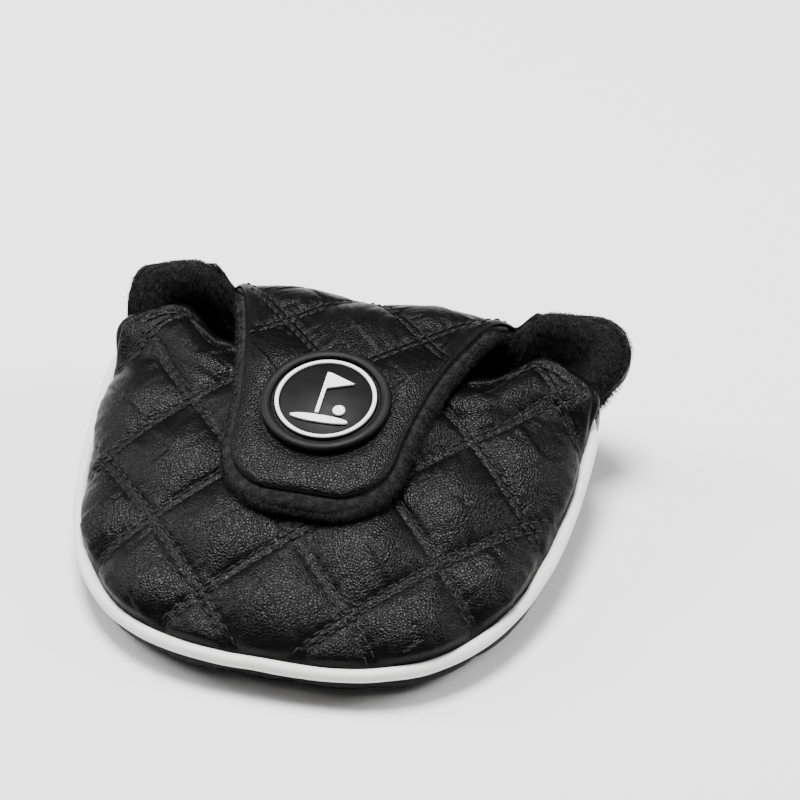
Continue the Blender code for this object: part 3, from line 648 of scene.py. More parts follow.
def new_material(name: str) -> tuple[bpy.types.Material, Graph, bpy.types.Node, bpy.types.NodeSocket]:
    """A material with its graph, its shader and its Object coordinates."""
    made = bpy.data.materials.new(name)
    made.use_nodes = True
    graph = Graph(made.node_tree)
    shader = made.node_tree.nodes["Principled BSDF"]
    place = graph.node("TexCoord").outputs["Object"]
    return made, graph, shader, place


def grouped(graph: Graph, tree: bpy.types.NodeTree, place: object, **values: float) -> bpy.types.Node:
    """A group node placed in a material with its own values."""
    made = graph.tree.nodes.new("ShaderNodeGroup")
    made.node_tree = tree
    graph.tree.links.new(place, made.inputs["Vector"])
    for label, value in values.items():
        made.inputs[label].default_value = value
    return made


def wire(graph: Graph, shader: bpy.types.Node, colour: object, rough: object, height: object,
         strength: float, depth: float) -> None:
    """Joins a colour, a roughness and a bump height to a material's shader."""
    relief = graph.node("Bump", Strength=strength, Distance=depth, Height=height)
    for label, socket in (("Base Color", colour), ("Roughness", rough), ("Normal", relief.outputs[0])):
        graph.tree.links.new(socket, shader.inputs[label])


@dataclass(frozen=True)
class Leather:
    """Coated leather or smooth tape with a pressed grain."""

    name: str
    colour: Colour
    crease_colour: Colour
    cell: float = 0.72 * MM
    depth: float = 0.11 * MM
    roughness: float = 0.27
    strength: float = 0.55
    specular: float = 0.1

    def build(self) -> bpy.types.Material:
        """Makes the material."""
        made, graph, shader, place = new_material(self.name)
        grain = grouped(graph, pebble_grain(), place, Cell=self.cell)
        cloud = grouped(graph, mottle(), place, Patch=0.018)
        worn = graph.maths("MULTIPLY", cloud.outputs["Value"], 0.35)
        wear = graph.blend(worn, self.colour, self.crease_colour)
        colour = graph.blend(graph.maths("MULTIPLY", grain.outputs["Crease"], 0.6), wear, self.crease_colour)
        rough = graph.maths("ADD", graph.maths("MULTIPLY", cloud.outputs["Value"], 0.05),
                            graph.maths("MULTIPLY", grain.outputs["Crease"], 0.08))
        wire(graph, shader, colour, graph.maths("ADD", rough, self.roughness), grain.outputs["Height"],
             self.strength, self.depth)
        shader.inputs["Specular IOR Level"].default_value = self.specular
        return made


@dataclass(frozen=True)
class Plush:
    """Plush, wadding or cotton: tufts that catch light at their edges, shown by a painted highlight, a
    lighter colour on the tufts' tips, and by sheen.
    """

    name: str
    colour: Colour
    # painted highlight: the lighter colour given to the tufts' tips
    tip_highlight_colour: Colour
    tuft: float = 0.55 * MM
    depth: float = 0.5 * MM
    sheen: float = 0.18

    def build(self) -> bpy.types.Material:
        """Makes the material."""
        made, graph, shader, place = new_material(self.name)
        pile = grouped(graph, nap(), place, Tuft=self.tuft)
        # painted highlight: the tufts' tips are blended towards the lighter tip colour
        colour = graph.blend(pile.outputs["Tips"], self.colour, self.tip_highlight_colour)
        rough = graph.ramp(pile.outputs["Tips"], 0.0, 1.0, 1.0, 0.88)
        wire(graph, shader, colour, rough, pile.outputs["Height"], 0.9, self.depth)
        shader.inputs["Sheen Weight"].default_value = self.sheen
        shader.inputs["Sheen Roughness"].default_value = 0.45
        shader.inputs["Specular IOR Level"].default_value = 0.15
        return made


@dataclass(frozen=True)
class Moulded:
    """Moulded rubber, thread or plated metal: one colour with a fine texture."""

    name: str
    colour: Colour
    second_colour: Colour
    roughness: float
    patch: float = 4.0 * MM
    texture: float = 0.25 * MM
    depth: float = 0.03 * MM
    metallic: float = 0.0
    specular: float = 0.5

    def build(self) -> bpy.types.Material:
        """Makes the material."""
        made, graph, shader, place = new_material(self.name)
        cloud = grouped(graph, mottle(), place, Patch=self.patch)
        fine = grouped(graph, mottle(), place, Patch=self.texture)
        colour = graph.blend(cloud.outputs["Value"], self.colour, self.second_colour)
        rough = graph.ramp(cloud.outputs["Value"], 0.0, 1.0, self.roughness, self.roughness + 0.1)
        wire(graph, shader, colour, rough, fine.outputs["Value"], 0.6, self.depth)
        shader.inputs["Metallic"].default_value = self.metallic
        shader.inputs["Specular IOR Level"].default_value = self.specular
        return made


def grey(value: float, warm: float = 0.0) -> Colour:
    """A near-grey colour; warm adds to red and takes from blue."""
    return (value * (1.0 + warm), value, value * (1.0 - warm), 1.0)


class Finish(Enum):
    """Every finish on the cover."""

    LEATHER = "leather"
    PLUSH = "plush"
    FOAM = "foam"
    PIPING = "piping"
    CORD = "cord"
    RUBBER = "rubber"
    INLAY = "white_rubber"
    THREAD = "thread"
    MAGNET = "magnet"


def build_finishes() -> dict[Finish, bpy.types.Material]:
    """Makes every material."""
    kinds = {
        Finish.LEATHER: Leather("black_pebbled_leather", grey(0.0012), grey(0.0026, 0.03)),
        # the second colour of the plush, the wadding and the cord is a painted highlight on the tufts' tips
        Finish.PLUSH: Plush("black_plush", grey(0.004), grey(0.014, 0.02)),
        Finish.FOAM: Plush("wadding", grey(0.02), grey(0.03), tuft=1.2 * MM, depth=0.2 * MM, sheen=0.0),
        Finish.PIPING: Leather("white_piping", grey(0.77, 0.012), grey(0.6, 0.02), cell=0.5 * MM,
                               depth=0.02 * MM, roughness=0.42, strength=0.4, specular=0.5),
        Finish.CORD: Plush("cotton_cord", grey(0.45, 0.05), grey(0.6, 0.05), depth=0.1 * MM, sheen=0.1),
        Finish.RUBBER: Moulded("moulded_rubber", grey(0.0025), grey(0.004), 0.45, depth=0.02 * MM,
                               specular=0.13),
        Finish.INLAY: Moulded("white_inlay", grey(0.86), grey(0.8), 0.42, depth=0.01 * MM),
        Finish.THREAD: Moulded("bonded_thread", grey(0.002), grey(0.005), 0.45, patch=1.2 * MM,
                               specular=0.25),
        Finish.MAGNET: Moulded("nickel_plate", grey(0.62), grey(0.5), 0.25, metallic=1.0),
    }
    return {finish: kind.build() for finish, kind in kinds.items()}


@dataclass
class Workshop:
    """What every sub-assembly needs: the form and the finishes."""

    form: CoverForm
    finishes: dict[Finish, bpy.types.Material]

    def coat(self, piece: bpy.types.Object, finish: Finish, *nodes: str) -> bpy.types.Object:
        """Gives a piece its finish and the CAD nodes that it stands for."""
        piece.data.materials.append(self.finishes[finish])
        if nodes:
            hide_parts(*nodes)
        LOG.info("%s: %d faces", piece.name, len(piece.data.polygons))
        return piece

    def dress(self, piece: bpy.types.Object, finish: Finish, body: Body, *nodes: str) -> bpy.types.Object:
        """Gives a piece its finish, its body and the CAD nodes that it stands for.

        Args:
            piece: the finished piece.
            finish: what it is made of.
            body: the body that it rides on.
            nodes: CAD nodes that it replaces.
        """
        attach(piece, body.value)
        return self.coat(piece, finish, *nodes)

    def dress_node(self, node: str, finish: Finish) -> None:
        """Gives a CAD node that stays its finish."""
        shown = bpy.data.objects[node]
        shown.data.materials.clear()
        shown.data.materials.append(self.finishes[finish])


# ------------------------------------------------------------------ crown

@dataclass(frozen=True)
class CrownPanel:
    """The quilted top panel with its turned mouth edge, its lining and its thread."""

    shop: Workshop
    quilting: Quilting = Quilting(shift=10.0 * MM)
    columns: int = 440
    rings: int = 96
    hem: float = 2.6 * MM
    hem_row: float = 5.0 * MM
    waist_pull: float = 6.5 * MM
    waist_drop: float = 1.8 * MM
    lobe_x: float = 48.0 * MM
    lobe_out: float = 2.4 * MM
    lobe_rise: float = 1.3 * MM
    wadding_depth: float = 1.6 * MM
    lining_depth: float = 5.6 * MM
    fibres: int = 16000
    fibre_length: float = 1.0 * MM

    def lift(self, x: Array, y: Array, angle: Array, out: Array) -> Array:
        """Quilting, pressed down at the seam and along the row of stitches beside the mouth."""
        form = self.shop.form
        rim_x, rim_y = form.crown_rim.at(angle)
        reach = np.hypot(rim_x, rim_y - form.centre_y)
        gone = (1.0 - out) * reach
        mouth = 1.0 - form.sewn(angle)
        fade = smooth((gone + 0.5 * MM) / (1.5 * MM))
        fade = fade * (1.0 - 0.85 * mouth * hump(gone - self.hem_row, 1.5 * MM))
        run = form.sole_rim.run(angle % math.tau)
        gather = 0.25 * MM * np.exp(-gone / (5.0 * MM)) * ripple(run, 0.7, 7.0 * MM)
        return self.quilting.lift(x, y) * fade + gather * smooth(gone / (1.5 * MM))

    def drawn(self, points: Array) -> Array:
        """Points with the mouth's edge pulled back under the flap and let out where the ears are.

        The pull fades to nothing 24 mm behind the edge; the lobe is a hump of width 7 mm.
        """
        across = np.abs(points[..., 0])
        near = smooth((points[..., 1] - 12.0 * MM) / (24.0 * MM))
        waist = smooth((self.lobe_x - across) / (14.0 * MM))
        lobe = hump(across - self.lobe_x, 7.0 * MM)
        shift = np.zeros_like(points)
        shift[..., 1] = near * (self.lobe_out * lobe - self.waist_pull * waist)
        shift[..., 2] = near * (self.lobe_rise * lobe - self.waist_drop * waist)
        return points + shift

    def surface(self, x: Array, y: Array) -> Array:
        """The leather over plan points: the crown's height plus the lift along its normal."""
        form = self.shop.form
        step = 0.6 * MM
        slope_x = (form.crown_z(x + step, y) - form.crown_z(x - step, y)) / (2.0 * step)
        slope_y = (form.crown_z(x, y + step) - form.crown_z(x, y - step)) / (2.0 * step)
        normal = unit(np.stack([-slope_x, -slope_y, np.ones_like(slope_x)], axis=-1))
        points = np.stack([x, y, form.crown_z(x, y)], axis=-1)
        return self.drawn(points + normal * self.lift(x, y, *form.crown_polar(x, y))[..., None])

    def leather(self) -> bpy.types.Object:
        """The panel: rings from its middle to its edge, then a half turn under at the mouth.

        Turned edge = edge + out * r * sin(a) - up * r * (1 - cos(a)), a from 0 to 180 degrees.
        """
        form = self.shop.form
        angle = form.crown_rim.around(-math.pi, self.columns)
        share = np.linspace(0.0, 1.0, self.rings)[:, None]
        out = np.sin(share * math.pi / 2.0) ** 0.8
        points = form.crown_at(angle, out, 0.0)
        normals = outward(points, True, np.array([0.0, form.centre_y, 0.0]))
        normals[0] = UP
        points = points + normals * self.lift(points[..., 0], points[..., 1], angle, out)[..., None]
        rim_x, rim_y = form.crown_rim.at(angle[0])
        along = np.roll(np.stack([rim_x, rim_y], -1), -1, 0) - np.roll(np.stack([rim_x, rim_y], -1), 1, 0)
        away = unit(np.stack([along[:, 1], -along[:, 0], np.zeros(len(along))], axis=-1))
        sewn = form.sewn(angle[0])[:, None]
        turn = np.linspace(0.0, math.pi, 13)[1:, None, None]
        rolled = away * self.hem * np.sin(turn) - UP * self.hem * (1.0 - np.cos(turn))
        tucked = -away * 0.9 * MM * turn / math.pi - UP * 0.7 * MM * turn / math.pi
        edge = points[-1] + mix(rolled, tucked, sewn)
        under = edge[-1] - away * mix(7.0 * MM, 0.3 * MM, sewn)
        points = np.concatenate([points, edge, under[None]])
        return surface_piece("crown_leather", self.drawn(points), np.array([0.0, form.centre_y, 0.0]),
                             closed=True, thickness=LEATHER_THICK)

    def wadding(self) -> bpy.types.Object:
        """The foam between the leather and the plush."""
        angle = self.shop.form.crown_rim.around(-math.pi, 180)
        out = np.sin(np.linspace(0.0, 1.0, 50)[:, None] * math.pi / 2.0) * 0.95
        points = self.drawn(self.shop.form.crown_at(angle, out, self.wadding_depth))
        return surface_piece("crown_wadding", points, points - UP, closed=True, thickness=2.0 * MM)

    def lining(self) -> tuple[bpy.types.Object, bpy.types.Object]:
        """The plush under the crown, and the pile along its mouth."""
        form = self.shop.form
        angle = form.crown_rim.around(-math.pi, 240)
        out = np.sin(np.linspace(0.0, 1.0, 60)[:, None] * math.pi / 2.0) ** 0.8
        points = self.drawn(form.crown_at(angle, out * 0.985, self.lining_depth))
        above = points + np.array([0.0, 0.0, 0.05])
        sheet = surface_piece("crown_plush", points, above, closed=True, thickness=1.5 * MM)
        front = np.abs(((angle[0] + math.pi) % math.tau) - math.pi) > math.radians(100.0)
        near = points[30:, front]
        order = np.argsort(near[0, :, 0])
        over = near.mean(axis=(0, 1)) + np.array([0.0, 0.0, 0.05])
        pile = pile_piece("crown_plush_pile", near[:, order], False, over, self.fibres, self.fibre_length, 5)
        return sheet, pile

    def threads(self) -> tuple[bpy.types.Object, bpy.types.Object]:
        """The quilting's stitches and the row along the mouth."""
        form = self.shop.form

        def keep(x: Array, y: Array) -> Array:
            """Inside the panel and short of the row beside the mouth."""
            power = form.mouth_power
            across = np.clip(np.abs(x) / form.half_width, 0.0, 1.0)
            edge = form.mouth_y + form.mouth_reach * (1.0 - across**power) ** (1.0 / power)
            return (np.abs(x) < form.side(y) - 1.5 * MM) & (y < edge - 5.5 * MM)

        quilted = sew_rows("crown_quilt_stitches", self.quilting.stitches(keep), self.surface)
        first, last = math.radians(112.0), math.radians(248.0)
        angle = form.crown_rim.even(first, last, 41)
        rim_x, rim_y = form.crown_rim.at(angle)
        reach = np.hypot(rim_x, rim_y - form.centre_y)
        x = rim_x * (1.0 - self.hem_row / reach)
        y = form.centre_y + (rim_y - form.centre_y) * (1.0 - self.hem_row / reach)
        direction = unit(np.stack([np.gradient(x), np.gradient(y)], axis=-1)).T
        hemmed = lay_stitches("mouth_hem_stitches", self.surface, x, y, direction)
        return quilted, hemmed

    def build(self) -> None:
        """Makes and dresses the panel."""
        leather = self.shop.dress(self.leather(), Finish.LEATHER, Body.COVER, "crown_shell")
        wadding = self.shop.dress(self.wadding(), Finish.FOAM, Body.COVER, "crown_foam")
        sheet, pile = self.lining()
        self.shop.dress(sheet, Finish.PLUSH, Body.COVER, "crown_lining")
        self.shop.dress(pile, Finish.PLUSH, Body.COVER)
        quilted, hemmed = self.threads()
        self.shop.dress(quilted, Finish.THREAD, Body.COVER, "crown_quilt_thread_one_way",
                        "crown_quilt_thread_other_way")
        self.shop.dress(hemmed, Finish.THREAD, Body.COVER, "mouth_hem_thread")


# ------------------------------------------------------------------ sole

@dataclass(frozen=True)
class SolePanel:
    """The underside: a quilted leather dish, its lining and its thread."""

    shop: Workshop
    quilting: Quilting = Quilting(shift=10.0 * MM, puff=1.3 * MM)
    corner: float = 8.0 * MM
    bulge: float = 3.0 * MM
    lowest: float = 0.04 * MM
    floor_share: float = 0.3
    wadding_depth: float = 2.6 * MM
    lining_depth: float = 5.6 * MM
    columns: int = 320

    def dish(self, angle: Array, share: Array, depth: float) -> Array:
        """A dish point: share 0 at the upper edge, floor_share where the floor starts, 1 at the middle.

        Side: z = depth + (top - depth) * (1 - sin a), and the plan point moves in by corner * (1 - cos a).
        """
        form = self.shop.form
        turn = np.clip(share / self.floor_share, 0.0, 1.0) * math.pi / 2.0
        inward = 1.0 - np.clip((share - self.floor_share) / (1.0 - self.floor_share), 0.0, 1.0)
        top = form.sole_edge(*form.sole_rim.at(angle))
        bulge = self.bulge * np.sin(2.0 * turn) * (share < self.floor_share)
        x, y = form.sole_rim.at(angle, depth - bulge)
        under_x, under_y = form.sole_rim.at(angle, depth + self.corner)
        x, y = mix(x, under_x, 1.0 - np.cos(turn)) * inward, mix(y, under_y, 1.0 - np.cos(turn)) * inward
        z = depth + (top - depth) * (1.0 - np.sin(turn))
        return np.stack(np.broadcast_arrays(x, y, z), axis=-1)

    def press(self, x: Array, y: Array) -> Array:
        """How far the leather is drawn up into the sole: the puff's height less the quilting's lift."""
        return np.maximum(self.quilting.puff * 1.05 - self.quilting.lift(x, y), 0.0)

    def surface(self, x: Array, y: Array) -> Array:
        """The floor's leather over plan points."""
        return np.stack([x, y, self.press(x, y)], axis=-1)

    def build(self) -> None:
        """Makes and dresses the panel."""
        form = self.shop.form
        angle = form.sole_rim.around(0.0, self.columns)
        share = np.concatenate([np.linspace(0.0, self.floor_share, 40),
                                np.linspace(self.floor_share, 1.0, 110)[1:]])[:, None]
        points = self.dish(angle, share, 0.0)
        floor = smooth((share - 0.16) / 0.14)[..., None]
        press = self.press(points[..., 0], points[..., 1])[..., None]
        inward = unit(np.array([0.0, 0.0, 0.02]) - points)
        points = points + mix(inward * 0.5, UP, floor) * press
        points[..., 2] = np.maximum(points[..., 2], self.lowest)
        leather = surface_piece("sole_leather", points, np.array([0.0, 0.0, 0.03]), closed=True,
                                thickness=LEATHER_THICK)
        self.shop.dress(leather, Finish.LEATHER, Body.COVER, "sole_shell")
        angle = form.sole_rim.around(0.0, 240)
        points = self.dish(angle, np.linspace(0.04, 1.0, 90)[:, None], self.wadding_depth)
        wadding = surface_piece("sole_wadding", points, points - UP, closed=True, thickness=-1.8 * MM)
        self.shop.dress(wadding, Finish.FOAM, Body.COVER, "sole_foam")
        points = self.dish(angle, np.linspace(0.02, 1.0, 90)[:, None], self.lining_depth)
        lining = surface_piece("pocket_plush", points, points - UP, closed=True, thickness=1.4 * MM)
        self.shop.dress(lining, Finish.PLUSH, Body.COVER, "sole_lining")

        def keep(x: Array, y: Array) -> Array:
            """Inside the flat of the sole."""
            return (np.abs(x) < form.side(y, 10.0 * MM)) & (y < form.widest_y + 5.0 * MM)

        x, y, slope = self.quilting.stitches(keep)
        along = unit(np.stack([np.ones_like(slope), slope, 0.0 * slope], axis=-1))
        down = np.broadcast_to(-UP, along.shape)
        thread = stitch_piece("sole_quilt_stitches", self.surface(x, y) - down * 0.2 * MM, along, down,
                              STITCH_LENGTH, 0.24 * MM)
        self.shop.dress(thread, Finish.THREAD, Body.COVER)


# ------------------------------------------------------------------ face wall

@dataclass(frozen=True)
class FaceWall:
    """The wall in front of the putter's face, whose two upper corners stand up as plush-edged ears."""

    shop: Workshop
    quilting: Quilting = Quilting(shift=16.0 * MM, puff=1.5 * MM)
    thick: float = 7.2 * MM
    raised: float = 1.4 * MM
    flare: float = 7.2 * MM
    left_flare: float = 0.8 * MM
    left_rise: float = 1.2 * MM
    wrap: float = math.radians(1.1)
    ear_top: float = 5.0 * MM
    end_drop: float = 15.5 * MM
    arc_from: float = 0.65
    arc_turn: float = math.radians(38.0)
    leather_top: float = 0.93
    wadding_depth: float = 1.5 * MM
    fibres: int = 110000
    fibre_length: float = 1.25 * MM
    columns: int = 420

    def angles(self) -> Array:
        """The wall's columns, from past one corner of the mouth to past the other."""
        first, last = math.pi / 2.0 - self.wrap, 1.5 * math.pi + self.wrap
        return self.shop.form.sole_rim.even(first, last, self.columns)

    def ends(self, angle: Array) -> Array:
        """1 over most of the wall, closing to 0 at its two ends as a quarter circle."""
        rim = self.shop.form.sole_rim
        last = rim.run(np.array(1.5 * math.pi + self.wrap))
        return quarter((last - np.abs(rim.run(angle))) / (9.0 * MM))

    def at(self, angle: Array, share: Array, depth: Array, raised: float = 0.0) -> Array:
        """A wall point: share 0 at the bottom seam and 1 at the top edge, depth under the leather.

        An ear's point stands straight up and flares outward by flare * sin(90 deg * share / arc_from).
        Under the flap the wall follows the fold's arc instead, and the two are mixed beside the flap.
        """
        form = self.shop.form
        outer_x, outer_y = form.sole_rim.at(angle)
        ahead_x, ahead_y = form.sole_rim.at(angle + 1e-4)
        away = unit(np.stack([ahead_y - outer_y, outer_x - ahead_x], axis=-1))
        bottom = form.sole_edge(outer_x, outer_y) + 0.6 * MM
        x, y = form.sole_rim.at(angle, depth)
        across = np.abs(x)
        ear = smooth((across - form.fold_half_width + 0.8 * MM) / (6.0 * MM))
        centre_y, centre_z = form.fold_centre
        fold_top = centre_z + form.fold_radius * math.sin(math.radians(40.0))
        top = mix(fold_top, form.crown_height + self.ear_top, ear)
        top = top + np.where(x < 0.0, self.left_rise, 0.0) * ear + raised
        top = top - self.end_drop * (1.0 - smooth((y - form.widest_y + 5.5 * MM) / (13.0 * MM)))
        flare = np.where(x > 0.0, self.flare, self.left_flare) * smooth((across - 44.0 * MM) / (14.0 * MM))
        flare = flare * smooth((y - form.widest_y + 4.0 * MM) / (9.0 * MM))
        climb = np.clip(share / self.arc_from, 0.0, 1.0)
        flare = flare * np.sin(climb * math.pi / 2.0)
        upright = (x + away[..., 0] * flare, y + away[..., 1] * flare, mix(bottom, top, share))
        turn = self.arc_turn * np.clip((share - self.arc_from) / (1.0 - self.arc_from), 0.0, 1.0)
        radius = form.fold_radius - depth - 1.4 * MM * smooth((share - 0.3) / 0.4)
        low_y = mix(y, centre_y + radius, smooth(climb))
        upright_part = share <= self.arc_from
        folded_y = np.where(upright_part, low_y, centre_y + radius * np.cos(turn))
        folded_z = np.where(upright_part, mix(bottom, centre_z, climb), centre_z + radius * np.sin(turn))
        folded = (x, folded_y, folded_z)
        return np.stack(np.broadcast_arrays(*(mix(f, u, ear) for f, u in zip(folded, upright))), axis=-1)

    def leather(self) -> bpy.types.Object:
        """The outside of the wall, quilted on its length and height."""
        form = self.shop.form
        angle = self.angles()[None, :]
        share = np.linspace(0.0, self.leather_top, 90)[:, None]
        closing = self.ends(angle)
        points = self.at(angle, share, self.thick / 2.0 * (1.0 - closing) + 0.0 * share)
        normals = outward(points, False, POCKET)
        run = form.sole_rim.run(angle) + 0.0 * share
        edge = np.minimum(smooth(share / 0.12), smooth((1.02 - share) / 0.12)) * closing
        lift = self.quilting.lift(run, points[..., 2]) * edge
        points = points + normals * lift[..., None]
        return surface_piece("face_leather", points, POCKET, thickness=LEATHER_THICK)

    def section(self, angle: Array) -> Array:
        """The plush round the wall's top: a lip down the outside, a half turn over, and the inner side.

        Half turn = middle + r * (side * cos a + up * sin a), a from -24 to 180 degrees.
        """
        closing = self.ends(angle)
        half = self.thick / 2.0
        centre = mix(0.8 * MM, half, closing)
        outer = self.at(angle, 1.0, centre - half * closing, self.raised)
        inner = self.at(angle, 1.0, centre + half * closing, self.raised)
        middle = (outer + inner) / 2.0
        below = self.at(angle, self.leather_top, half * np.ones_like(angle), self.raised)
        side = unit(outer - inner)
        up = unit(self.at(angle, 1.0, half * np.ones_like(angle), self.raised) - below)
        radius = (half * closing + 0.6 * MM)[..., None]
        swell = 1.0 + 0.07 * ripple(self.shop.form.sole_rim.run(angle), 1.3, 19.0 * MM)[..., None]
        radius = radius * swell
        middle = middle - up * radius
        turn = np.radians(np.linspace(-24.0, 180.0, 26))[:, None, None]
        roll = middle[None] + radius * (side * np.cos(turn) + up * np.sin(turn))
        lip = np.linspace(0.8, 0.9, 6)[:, None]
        lip = self.at(angle[None, :], lip, (centre - half * closing)[None, :], self.raised) + side * 0.55 * MM
        roll = np.concatenate([lip, roll])
        drop = np.linspace(0.0, 1.0, 46)[1:, None, None]
        down = self.at(angle[None, :], mix(0.9, 0.0, drop[..., 0]), (centre + half * closing)[None, :])
        start = roll[-1] - down[0]
        down = down + start * (1.0 - smooth(drop * 3.0)) - side * 0.3 * MM
        return np.concatenate([roll, down])

    def wadding(self) -> bpy.types.Object:
        """The foam between the leather and the plush, ending inside the roll."""
        angle = self.shop.form.sole_rim.even(0.52 * math.pi, 1.48 * math.pi, 200)[None, :]
        points = self.at(angle, np.linspace(0.02, 0.84, 40)[:, None], self.wadding_depth + 0.0 * angle)
        return surface_piece("face_wadding", points, POCKET, thickness=1.8 * MM)

    def build(self) -> None:
        """Makes and dresses the wall."""
        wadding = self.shop.dress(self.wadding(), Finish.FOAM, Body.COVER, "face_foam")
        leather = self.shop.dress(self.leather(), Finish.LEATHER, Body.COVER, "face_shell")
        points = self.section(self.angles())
        inside = points.mean(axis=(0, 1)) + np.array([0.0, 0.03, -0.01])
        plush = surface_piece("ear_plush", points, inside, thickness=0.7 * MM)
        self.shop.dress(plush, Finish.PLUSH, Body.COVER, "face_lining")
        pile = pile_piece("ear_plush_pile", points, False, inside, self.fibres, self.fibre_length, 11)
        self.shop.dress(pile, Finish.PLUSH, Body.COVER)


# ------------------------------------------------------------------ piping

@dataclass(frozen=True)
class Piping:
    """The bead of white tape round its cord, from one corner of the mouth round the rear to the other."""

    shop: Workshop
    radius: float = 1.62 * MM
    out: float = 1.45 * MM
    columns: int = 420
    end_y: float = 35.0 * MM
    half_length: float = 130.0 * MM
    tucked_in: float = 2.6 * MM
    sway: float = 0.22 * MM

    def sweep(self, name: str, radius: float, end_y: float) -> bpy.types.Object:
        """A circle carried along the seam, drawn in and rounded off at its ends."""
        form = self.shop.form
        fine = np.linspace(-math.pi / 2.0, math.pi / 2.0, 4001)
        inside = np.flatnonzero(form.sole_rim.at(fine)[1] <= end_y)
        angle = form.sole_rim.even(fine[inside[0]], fine[inside[-1]], self.columns)
        edge_x, edge_y = form.sole_rim.at(angle)
        x, y = form.sole_rim.at(angle, -self.out)
        run = np.linspace(-self.half_length, self.half_length, self.columns)
        gone = self.half_length - np.abs(run)
        tuck = 1.0 - smooth(gone / (9.0 * MM))
        wave = ripple(run, 0.4, 26.0 * MM)
        x = x - np.sign(x) * self.tucked_in * tuck
        z = form.seam(edge_y) + self.sway * wave
        route = np.stack([x, y, z], axis=-1)
        along = unit(np.gradient(route, axis=0))
        side = unit(np.cross(along, UP))
        up = np.cross(side, along)
        close = quarter(gone / (1.6 * MM))
        radius = radius * close * (1.0 + 0.03 * np.roll(wave, 7))
        turn = np.linspace(0.0, math.tau, 29)[:-1]
        ring = np.cos(turn)[None, :, None] * side[:, None] + np.sin(turn)[None, :, None] * up[:, None]
        points = route[:, None] + ring * radius[:, None, None]
        return surface_piece(name, points, route[:, None], closed=True)

    def build(self) -> None:
        """Makes and dresses the bead and the cord inside it."""
        bead = self.sweep("piping_bead", self.radius, self.end_y)
        self.shop.dress(bead, Finish.PIPING, Body.COVER, "piping_cover")
        core = self.sweep("piping_core", self.radius - 0.5 * MM, self.end_y - 1.5 * MM)
        self.shop.dress(core, Finish.CORD, Body.COVER, "piping_cord")


# ------------------------------------------------------------------ flap

